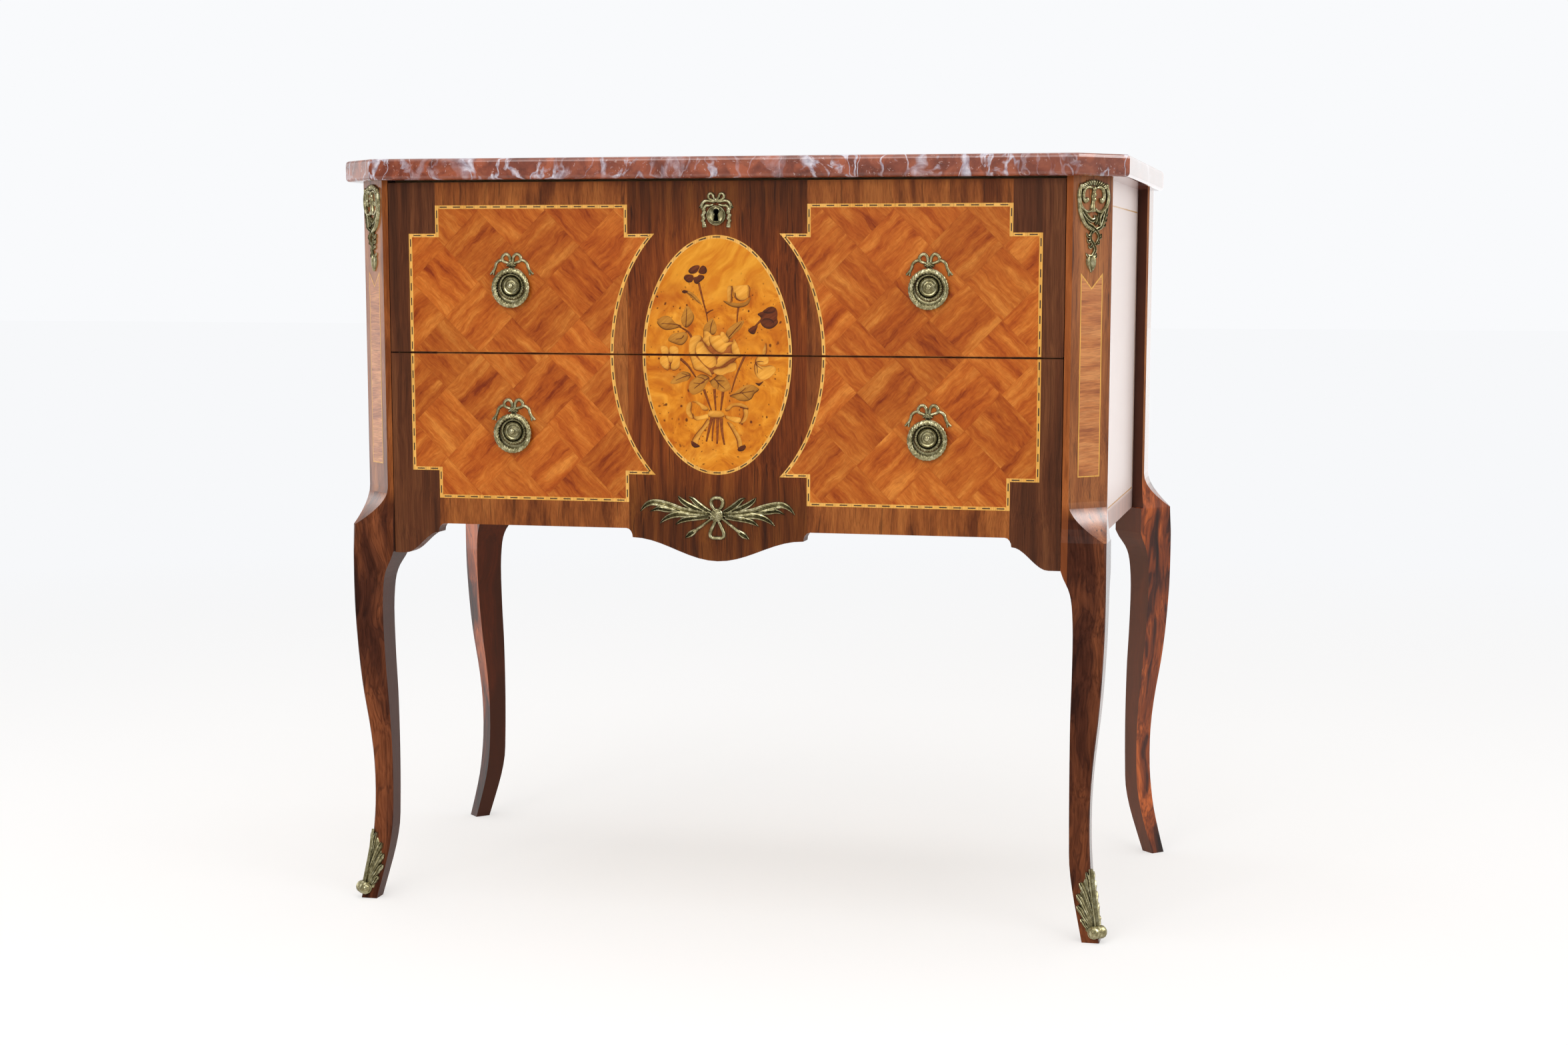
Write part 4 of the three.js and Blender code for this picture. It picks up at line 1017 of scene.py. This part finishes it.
def inlay(name, bm, finish):
    """Thin sheets let into the drawer fronts, cut apart at the gap between the drawers."""
    depth = 0.3
    for drawer, low, high in DRAWERS:
        half = bm.copy()
        for level, up in ((low, -1), (high, 1)):
            bmesh.ops.bisect_plane(
                half, geom=half.verts[:] + half.edges[:] + half.faces[:], plane_co=(0, 0, level * MM),
                plane_no=(0, 0, up), clear_outer=True)
        if half.faces:
            back = bmesh.ops.extrude_face_region(half, geom=half.faces[:])["geom"]
            moved = [part for part in back if isinstance(part, bmesh.types.BMVert)]
            bmesh.ops.translate(half, verts=moved, vec=(0, depth * MM, 0))
            bmesh.ops.recalc_face_normals(half, faces=half.faces)
            mesh = bpy.data.meshes.new(f"{drawer}_{name}")
            half.to_mesh(mesh)
            link(f"{drawer}_{name}", mesh, finish, f"drawer_{drawer}", 30.0)
        half.free()
    bm.free()


def on_front(x, z, lift):
    return in_space(x, FACE_Y - lift, z)


def flat(polygons, lift):
    """One sheet made of polygons that share their corners."""
    bm = bmesh.new()
    for polygon in polygons:
        bm.faces.new([bm.verts.new(on_front(x, z, lift)) for x, z in polygon])
    bmesh.ops.remove_doubles(bm, verts=bm.verts, dist=MM * MM)
    return bm


def framed(field, string, dashed, finish, outlines, smooth, flip=lambda polygons: polygons):
    """A veneered field, a light string round it and dark dashes on the string's middle line, each named."""
    outer, middle, inner = outlines
    inlay(field, flat(flip([inner]), FIELD_LIFT), finish)
    inlay(string, flat(flip(band(outer, inner)), STRING_LIFT), YELLOW)
    inlay(dashed, flat(flip(dashes(middle, smooth)), DASH_LIFT), EBONY)


def mirrored(polygons):
    return [[(-x, z) for x, z in reversed(polygon)] for polygon in polygons]


def make_panels():
    """The two parquetry panels; the points of their hollow sides carry one run of dashes."""
    outline = panel_outline()
    hollow_wide, hollow_high = 112.0, 124.0
    smooth = {k for k, (x, z) in enumerate(outline) if abs(z - OVAL_Z) < hollow_high and x < hollow_wide}
    outlines = outline, inset(outline, STRING / 2), inset(outline, STRING)
    framed("parquetry_right", "string_right", "dashes_right", PARQUETRY, outlines, smooth)
    framed("parquetry_left", "string_left", "dashes_left", PARQUETRY, outlines, smooth, mirrored)


def make_oval():
    """The central oval of burl."""
    corners = 96
    outlines = [
        ellipse(OVAL_WIDE - less, OVAL_HIGH - less, 0.0, math.tau, corners)[:-1]
        for less in (0.0, STRING / 2, STRING)]
    framed("oval", "oval_string", "oval_dashes", BURL, outlines, set(range(1, corners)))


def closed_curve(points):
    """A smooth closed outline through the points."""
    steps = 4
    ring = [Vector(point) for point in points]
    return [
        between(*(ring[(k + shift) % len(ring)] for shift in (-1, 0, 1, 2)), step / steps)
        for k in range(len(ring)) for step in range(steps)]


def thin_strip(points, half):
    """The outline of a thin strip along a curve, narrower at its far end."""
    steps, taper = 5, 0.55
    path = [Vector(row) for row in curve(points, steps)]
    sides = ([], [])
    last = len(path) - 1
    for index, point in enumerate(path):
        along = (path[min(index + 1, last)] - path[max(index - 1, 0)]).normalized()
        aside = Vector((-along.y, along.x)) * half * (1 - taper * index / last)
        sides[0].append(point + aside)
        sides[1].append(point - aside)
    return sides[0] + sides[1][::-1]


def edges(outline):
    return zip(outline, outline[1:] + outline[:1])


def inner_points(outline, spacing):
    """A grid of points inside an outline."""
    low, high = min(point.y for point in outline), max(point.y for point in outline)
    inside = []
    for row in range(int((high - low) / spacing)):
        z = low + (row + 0.5) * spacing
        crossings = sorted(
            a.x + (b.x - a.x) * (z - a.y) / (b.y - a.y) for a, b in edges(outline) if (a.y > z) != (b.y > z))
        for left, right in zip(crossings[::2], crossings[1::2]):
            for column in range(int((right - left) / spacing)):
                inside.append(Vector((left + (column + 0.5) * spacing, z)))
    return inside


def burn_at(point, outline, toward, reach):
    """How burnt a veneer is at a point: a dark hairline round its rim and a deep shade along one side."""
    hairline = 0.5
    rim = side = 0.0
    for a, b in edges(outline):
        along = b - a
        share = min(1.0, max(0.0, (point - a).dot(along) / along.length_squared))
        distance = (point - (a + along * share)).length
        facing = max(0.0, Vector((along.y, -along.x)).normalized().dot(toward))
        rim = max(rim, (0.2 + 0.7 * facing) * math.exp(-distance / hairline))
        side = max(side, facing ** 1.5 * math.exp(-distance / reach))
    return min(1.0, rim + 0.75 * side)


def add_veneer(bm, outline, lift, burnt, reach):
    """One small veneer, its rim darker towards one side, given as an angle in degrees; None leaves it clean."""
    spacing, tolerance = 0.9, 1e-5
    layer = bm.verts.layers.float.get("burn") or bm.verts.layers.float.new("burn")
    if sum(a.cross(b) for a, b in edges(outline)) < 0:
        outline = outline[::-1]
    points = outline + inner_points(outline, spacing)
    corners, _, faces, _, _, _ = delaunay_2d_cdt(points, [], [list(range(len(outline)))], 1, tolerance)
    angle = math.radians(burnt or 0)
    toward = Vector((math.cos(angle), math.sin(angle)))
    made = []
    for corner in corners:
        vertex = bm.verts.new(on_front(*corner, lift))
        if burnt is not None:
            vertex[layer] = burn_at(corner, outline, toward, reach)
        made.append(vertex)
    for face in faces:
        bm.faces.new([made[k] for k in face])


BLOSSOM = (
    (((-30, 684), (-28, 687), (-24, 689.5), (-19, 690), (-18, 688), (-19.2, 685.5), (-21, 683), (-24, 681.5),
      (-28, 681.5)), 200),
    (((-18, 686.5), (-16, 689), (-13.5, 689.6), (-11, 687.5), (-10.2, 684), (-12, 681.5), (-16, 681),
      (-19.2, 682.8)), 340),
    (((-35, 677), (-33, 680), (-29, 680.5), (-25.5, 679.8), (-24.4, 676.5), (-26.5, 673), (-30, 672.3),
      (-33, 674)), 250),
    (((-24.6, 676.5), (-22, 678.6), (-18, 680.2), (-14, 679.4), (-13, 677.4), (-15, 675), (-18.5, 672.5),
      (-20.5, 671), (-23.4, 672)), 290),
    (((43.5, 640), (46, 642), (50, 643.5), (54, 647), (59, 648), (63, 646), (64.5, 641), (64, 636), (65, 632),
      (62, 628), (57, 625.5), (52, 626), (48, 629), (46.3, 633), (46.8, 637)), 270),
    (((49, 643), (54, 646.6), (59, 647.4), (62.5, 645), (60, 642), (54, 641)), 260),
    (((48.5, 632), (52, 628.5), (57, 627.6), (61, 630), (59.6, 634), (55, 636), (50, 635.6)), 80),
)
LEAVES = (
    (((-33, 626), (-38, 632), (-36.5, 640), (-31.5, 648.5), (-26.5, 643), (-24, 637), (-27, 630)), 300),
    (((-64, 632), (-57, 637.8), (-50, 637), (-44.5, 631), (-38, 627.5), (-46, 624.5), (-54, 623.5),
      (-60, 626)), 250),
    (((-33, 621), (-40, 621), (-48, 619), (-52, 613), (-45, 609.5), (-38, 608), (-33.5, 611), (-31, 616)), 290),
    (((-34, 663.8), (-28, 663), (-21, 657.5), (-15.5, 649.5), (-21, 652.6), (-28, 658)), 160),
    (((-14, 622), (-13, 628), (-9.5, 632), (-4.5, 636), (-1, 630), (0, 624), (-3, 619), (-8, 620)), 260),
    (((10, 621), (13, 625.5), (20, 631), (29, 633.6), (25.6, 626), (19, 620), (14, 614.5), (11, 617)), 240),
    (((-50, 569), (-44, 576), (-38, 580.5), (-31, 580), (-28, 577), (-31, 572), (-37, 570), (-44, 568)), 20),
    (((-30, 562), (-29, 569), (-24, 574), (-17, 578), (-10, 576.5), (-8, 573), (-12, 567), (-15, 561.5),
      (-20, 558.5), (-26, 557)), 50),
    (((-7, 571), (-3, 574.5), (2, 578), (8, 576), (12, 571.5), (15, 565), (12, 561.5), (6, 560.4), (0, 563),
      (-5, 566)), 140),
    (((14, 556), (20, 560), (27, 565.5), (34, 568), (40, 567), (45, 563), (40, 558.5), (37, 553.5), (31, 551),
      (24, 551.5), (19, 554)), 310),
    (((7, 653.6), (14, 652.6), (22, 651.4), (30, 652.4), (36.4, 657.6), (34, 651), (29, 647.8), (22, 646.8),
      (14, 648.6)), 270),
)
PALE = (
    (((12, 668.5), (16.8, 668), (16.4, 660), (15.8, 652.5), (12, 653.5), (11.4, 661)), 350),
    (((18, 668), (26, 669.5), (33, 669.5), (34, 663), (32, 656), (26, 653.5), (21, 655), (18, 660)), 240),
    (((33, 669.8), (35.8, 667), (35.2, 660), (34, 656.5), (32.4, 661), (33.2, 665)), 0),
    (((-24.5, 680), (-21, 682.5), (-18.5, 682), (-19.5, 679.5), (-22.5, 678)), None),
    (((-60, 606), (-54, 606.5), (-51, 601), (-53, 596), (-58, 597)), 300),
    (((-50, 606), (-45, 607), (-41, 604), (-42, 598), (-47, 596), (-51, 600)), 250),
    (((-60, 595.5), (-54, 597), (-51.5, 590), (-52, 582), (-57, 584), (-61, 590)), 280),
    (((-47, 596.5), (-40, 596.5), (-39.5, 590), (-41, 584), (-47, 581.5), (-50, 586), (-48, 592)), 270),
    (((-52, 597), (-47.5, 597), (-48, 589.5), (-51, 590)), 270),
    (((41, 591), (43, 596.5), (50, 598.5), (55, 595.5), (54, 590), (47, 588.5)), 190),
    (((48.5, 600), (50, 606), (52.5, 611), (53.5, 604), (52, 599)), 10),
    (((41, 590), (40, 583), (43, 576), (50, 573), (58, 577), (63, 584), (58, 588), (48, 587)), 150),
    (((5, 622), (8.5, 621), (11.5, 617), (14, 613), (10, 610.5), (6, 613.5), (4, 618)), 330),
    (((18, 615), (21, 611), (24, 604), (25, 598), (20, 596.5), (16, 600), (15, 606), (16.4, 611)), 210),
    (((-29, 612), (-25, 617.5), (-18, 618), (-15.5, 615), (-18, 611), (-21, 606), (-22.5, 598), (-26, 594),
      (-29.5, 601)), 330),
    (((-14, 622), (-10, 622.5), (-6.5, 620), (-5, 616), (-6, 611), (-9, 606), (-12, 609), (-15.8, 613),
      (-14.2, 617)), 215),
    (((-29.5, 600), (-24, 598), (-20, 594), (-13, 587), (-7, 581), (-5, 575.5), (-10, 577.5), (-16, 580.5),
      (-24, 583), (-26.5, 589)), 235),
    (((-8, 617), (-3, 617.5), (3, 618.5), (6, 615), (9, 611), (15, 611.5), (17.6, 610.5), (12, 607), (9, 603),
      (5, 599.8), (0, 601.5), (-4, 605), (-7.4, 610.5)), 235),
    (((1, 594), (4, 598.5), (12, 600), (20, 599), (27, 597.5), (22, 595), (17, 594), (12, 591), (6, 586.5),
      (1, 585), (-2, 588)), 300),
    (((-21, 609), (-15, 612.6), (-11, 607), (-7, 602), (-1, 597), (0.6, 590), (-3, 586), (-8, 585), (-14, 589),
      (-19, 595), (-22, 601)), 30),
    (((-4.4, 582.5), (-1, 584.5), (4, 585), (10, 587), (14, 590), (20, 591), (21, 585), (18, 581.5), (12, 580),
      (6, 577.5), (1, 578), (-3, 580)), 120),
    (((-32, 546), (-28, 549.5), (-26.5, 546), (-27.5, 540), (-25, 532), (-30, 534), (-33, 539)), 330),
    (((-27, 549.5), (-22, 550.5), (-16, 547.5), (-10, 544), (-9.5, 541), (-15, 541), (-18, 545),
      (-23, 548.5)), 300),
    (((-26, 538), (-23, 534.5), (-16, 535.5), (-10, 537), (-9.5, 533), (-15, 531.5), (-22, 530.5),
      (-25.4, 533)), 200),
    (((9, 541.5), (14, 547), (20, 549), (27, 548.5), (33, 545), (32, 542.5), (26, 544.5), (18, 545),
      (12, 540.5)), 250),
    (((28, 543), (33, 542), (33, 536), (30, 530), (24, 527.5), (27, 533), (28.5, 538)), 150),
    (((9, 536), (14, 535), (24, 534), (26, 531), (23, 528.5), (16, 530), (9.5, 533)), 180),
    (((-10, 532), (-16, 524), (-23, 516), (-27, 508.5), (-21, 506), (-19, 512), (-14, 520), (-8, 528)), 130),
    (((11, 529), (16, 527.5), (20.5, 521), (25, 514), (27, 507), (26.5, 502.5), (22.5, 502.5), (21.5, 509),
      (18.5, 516), (14.5, 523)), 200),
    (((-9.5, 537), (-7.5, 540), (-2, 540.5), (4, 540), (7.5, 538), (7.5, 534.5), (3, 533.2), (-3, 533),
      (-8, 534)), 270),
)
TIPS = (
    (((-27.5, 509), (-24, 507.5), (-18.4, 503.5), (-24, 502), (-27.4, 505)), 270),
    (((22, 501), (26, 504.8), (31, 504.4), (28.6, 500), (24, 499)), 270),
    (((-37, 662.8), (-34.5, 664.6), (-30.6, 663), (-34, 661.2)), 270),
    (((33.6, 624), (38, 627.4), (43.4, 629), (42, 624), (40, 620), (36, 620.6)), 270),
    (((41, 569.8), (45, 569.6), (49.5, 571.5), (46.6, 568), (44.6, 567)), 270),
)
STEMS = (
    ((-19, 672), (-16.5, 662), (-14, 652), (-11, 641), (-9.4, 631), 1.25),
    ((-10.4, 641), (-7.4, 643), (-3.6, 644.6), 1.0),
    ((23.4, 648), (22.2, 640), (21.6, 630), 1.2),
    ((47, 634), (43, 630), (37, 624), 1.3),
    ((-25.5, 613), (-29, 620), (-34, 624), (-45, 629.4), 1.4),
    ((-33, 622), (-34, 618), (-42, 614), 0.8),
    ((30.5, 599), (24, 585), (19, 572), (15.5, 560), 1.3),
    ((-39, 594), (-31, 587), (-26, 580), (-22.5, 575), 1.5),
    ((-13.8, 562.5), (-10, 552), (-6, 541), 1.5),
    ((-2.6, 563), (-2.0, 552), (-1.2, 541), 1.6),
    ((6.8, 562), (5.4, 551), (4.2, 541), 1.6),
    ((-5.5, 533), (-8.5, 521), (-11.4, 508.5), 1.9),
    ((-2.6, 533), (-4.4, 521), (-5.2, 509), 1.3),
    ((0.9, 533), (0.7, 521), (0.1, 506.5), 1.9),
    ((4.8, 533), (5.4, 520), (8, 505.5), 1.9),
)
VEINS = (
    ((-33, 627), (-32.4, 636), (-32, 646), 0.4),
    ((-38, 627.6), (-46, 629.6), (-59, 630), 0.45),
    ((-35, 618), (-38, 615), (-44, 614), 0.4),
    ((-7, 621), (-6, 628), (-4, 634), 0.4),
    ((13, 616.5), (19, 623), (27, 632), 0.45),
    ((-29, 577), (-36, 575), (-44, 571.5), 0.5),
    ((-31, 576.4), (-34, 578), (-37.6, 578.6), 0.35),
    ((-8.6, 574.4), (-14, 571), (-24, 563.6), 0.6),
    ((-13, 570.5), (-17, 568.6), (-25, 569), 0.4),
    ((-12, 572), (-16, 574.4), (-20, 575), 0.35),
    ((-2.4, 573.4), (2, 569), (8.6, 563.4), 0.55),
    ((-0.6, 571.8), (4, 571.6), (8.6, 571.6), 0.4),
    ((1, 570), (1.6, 566.4), (1, 563.8), 0.35),
    ((14, 556), (22, 558.6), (40, 561.6), 0.5),
    ((24, 559), (28, 562), (31, 565), 0.3),
    ((27, 559.4), (31, 556), (34, 553.6), 0.3),
    ((41, 591), (46, 592), (50, 591.6), 0.4),
    ((41, 591), (44, 587), (49, 584), 0.4),
    ((41, 591), (43, 586), (43.5, 580), 0.4),
    ((-49.5, 589), (-49.8, 586), (-50.2, 582.5), 0.5),
    ((25, 544.4), (30, 543.6), (34, 543.4), 0.5),
    ((-34, 662.8), (-27, 659.4), (-18, 651), 0.35),
    ((16.6, 669), (16.4, 660), (16.8, 653), 0.5),
    ((19.6, 662), (21.2, 656.6), (25.6, 654), 0.5),
)
HEART = (
    (-28, 610), (-24, 616), (-16, 615), (-12, 620), (-6, 617), (5, 619), (12, 614), (18, 612), (23, 604),
    (24, 598.6), (19, 592), (15, 589), (6, 584), (-1, 580.5), (-6, 578), (-16, 582), (-24, 585.5), (-27, 592),
    (-28.4, 600))


def make_bouquet():
    """A tied bouquet of small shaded veneers, laid one over another."""
    lift, rise = 0.13, 0.006
    groups = (
        ("stems", STEM, 0.8, [(thin_strip(points, half), 270) for *points, half in STEMS]),
        ("leaves", LEAF_GREEN, 2.2, [(closed_curve(points), burnt) for points, burnt in LEAVES]),
        ("blossom", DARK_PETAL, 2.6, [(closed_curve(points), burnt) for points, burnt in BLOSSOM]),
        ("heart", HEART_WOOD, 3.0, [(closed_curve(HEART), 270)]),
        ("petals", PETAL, 3.0, [(closed_curve(points), burnt) for points, burnt in PALE]),
        ("tips", DARK_PETAL, 1.6, [(closed_curve(points), burnt) for points, burnt in TIPS]),
        ("veins", DARK_PETAL, 1.0, [(thin_strip(points, half), None) for *points, half in VEINS]),
    )
    for name, finish, reach, veneers in groups:
        bm = bmesh.new()
        for outline, burnt in veneers:
            add_veneer(bm, outline, lift, burnt, reach)
            lift += rise
        inlay(f"bouquet_{name}", bm, finish)


def sheet(name, polygons, place, finish, slot, lift):
    """Thin sheets on any flat place of the case."""
    root = -0.2
    relief = Relief(place)
    for polygon in polygons:
        relief.rings([[(x, z, level) for x, z in polygon] for level in (root, lift)])
    relief.piece(name, "case", finish=finish, slot=slot, sharp=30.0)


def make_facet_inlays():
    """The veneer and the string on the canted corners, between the corner mounts and the knees."""
    half, line, bottom, top, dip = 14.0, 1.2, 478.2, 682.8, 668.0
    outline = [(-half, bottom), (half, bottom), (half, top), (0.0, dip), (-half, top)]
    inner = inset(outline, line)
    for hand, side in SIDES.items():
        place = on_cant(side)
        field = [inner[:4], [inner[0], *inner[3:]]]
        sheet(f"facet_string_{hand}", band(outline, inner), place, YELLOW, "post_veneer", STRING_LIFT)
        sheet(f"facet_field_{hand}", field, place, LIGHT, "post_veneer", FIELD_LIFT)


def make_side_strings():
    """A string line round each side panel."""
    front, bottom, top, line, margin = -150.0, 436.0, 752.5, 1.3, 25.0
    for hand, side in SIDES.items():
        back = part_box(f"side_panel_{hand}")[1].y / MM - margin
        outline = [(front, bottom), (back, bottom), (back, top), (front, top)]
        strips = band(outline, inset(outline, line))
        sheet(f"side_string_{hand}", strips, on_side(side), YELLOW, "panel_veneer", STRING_LIFT)


def make_camera():
    """The photograph's camera, solved on the chest's own edges."""
    yaw, pitch, roll = math.radians(12.916), math.radians(7.571), math.radians(0.114)
    stand = (0.654, -2.652, 0.6794)
    forward = Vector((-math.sin(yaw) * math.cos(pitch), math.cos(yaw) * math.cos(pitch), -math.sin(pitch)))
    level = forward.cross(Vector((0, 0, 1))).normalized()
    upright = level.cross(forward)
    right = level * math.cos(roll) + upright * math.sin(roll)
    up = upright * math.cos(roll) - level * math.sin(roll)
    data = bpy.data.cameras.new("camera")
    data.lens = 55.84
    data.sensor_width = 36.0
    data.shift_x = -0.0138
    data.shift_y = 0.0488
    data.clip_end = 50.0
    camera = show("camera", data)
    camera.matrix_world = Matrix((*zip(right, up, -forward, stand), (0, 0, 0, 1)))
    bpy.context.scene.camera = camera


def make_world():
    """White to look at; in mirrors bright behind and beside the chest and dim where the camera stands."""
    world = bpy.data.worlds.new("studio")
    bpy.context.scene.world = world
    tree = Tree(world)
    ambient = tree.nodes["Background"]
    tree.put(ambient.inputs["Color"], WHITE)
    tree.put(ambient.inputs["Strength"], 0.6)
    seen = tree.add("Background", {"Color": (249, 250, 252)}).outputs[0]
    behind = tree.split(tree.add("TexCoord").outputs["Generated"])[1]
    glow = tree.add("Background", {"Strength": tree.span(behind, -0.75, -0.1, 0.3, 1.0)}).outputs[0]
    rays = tree.add("LightPath").outputs
    light = ambient.outputs[0]
    for ray, shown in (("Is Glossy Ray", glow), ("Is Transmission Ray", seen), ("Is Camera Ray", seen)):
        light = tree.add("MixShader", (rays[ray], light, shown)).outputs[0]
    tree.put(tree.nodes["World Output"].inputs[0], light)


def make_floor():
    """A pale floor that keeps the shadow near the chest and turns into the white background further away."""
    near, far, reach = 0.7, 3.4, 30.0
    finish = Finish("floor", roughness=0.55, specular=0.0)
    rays = finish.add("LightPath").outputs
    x, y, _ = finish.split(finish.place)
    in_mirrors = finish.times(rays["Is Glossy Ray"], finish.span(y, -0.6, 0.2))
    seen = finish.math("MAXIMUM", rays["Is Camera Ray"], in_mirrors)
    away = finish.distance(x, y)
    fade = finish.span(away, near, far)
    tone = finish.ramp(finish.noise(finish.place, 2.2), (0.3, (230, 228, 225)), (0.7, (238, 236, 234)))
    finish.surface("Base Color", finish.mix(seen, tone, finish.mix(fade, (190, 187, 185), (4, 4, 4))))
    finish.surface("Emission Color", finish.mix(fade, (254, 255, 255), (252, 253, 255)))
    finish.surface("Emission Strength", finish.times(seen, finish.span(away, near, far, 0.49, 0.955)))
    mesh = bpy.data.meshes.new("floor")
    corners = [(-reach, -reach, 0), (reach, -reach, 0), (reach, reach, 0), (-reach, reach, 0)]
    mesh.from_pydata(corners, [], [(0, 1, 2, 3)])
    mesh.materials.append(finish.material)
    floor = show("floor", mesh)


def add_lamp(name, place, aim, size, power, only_mirrored=False):
    """A rectangular lamp that faces a point; the camera never sees it."""
    data = bpy.data.lights.new(name, "AREA")
    data.shape = "RECTANGLE"
    data.size, data.size_y = size
    data.energy = power
    lamp = show(name, data)
    lamp.location = place
    lamp.rotation_euler = (Vector(aim) - Vector(place)).to_track_quat("-Z", "Y").to_euler()
    lamp.visible_camera = False
    lamp.visible_diffuse = not only_mirrored


def make_lamps():
    """Soft light from above and in front, and two windows that only the polish shows."""
    add_lamp("ceiling", (0, -0.5, 3.6), (0, 0, 0), (4.0, 4.0), 60.0)
    add_lamp("front", (-0.5, -3.4, 1.8), (0, 0, 0.5), (2.0, 1.6), 40.0)
    add_lamp("right", (2.8, -2.2, 1.6), (0, 0, 0.5), (1.6, 1.6), 14.0)
    add_lamp("behind", (1.6, 4.2, 1.0), (0.4, 0, 0.6), (3.2, 2.6), 12.0)
    add_lamp("left_window", (-3.2, 0.8, 0.7), (-0.4, -0.2, 0.6), (2.4, 1.8), 10.0, only_mirrored=True)
    add_lamp("right_window", (2.3, -0.2, 2.0), (0.4, -0.2, 0.44), (1.4, 2.0), 64.0, only_mirrored=True)


bpy.context.scene.view_settings.view_transform = "Standard"
dress_cad()
make_camera()
make_world()
make_floor()
make_lamps()
make_panels()
make_oval()
make_bouquet()
make_facet_inlays()
make_side_strings()
make_lips()
for drawer in HANDLE_Z:
    for hand in SIDES:
        make_handle(drawer, hand)
make_escutcheon()
make_spray()
for hand in SIDES:
    make_corner_mount(hand)
    make_knee(hand)
    make_sabot(hand)
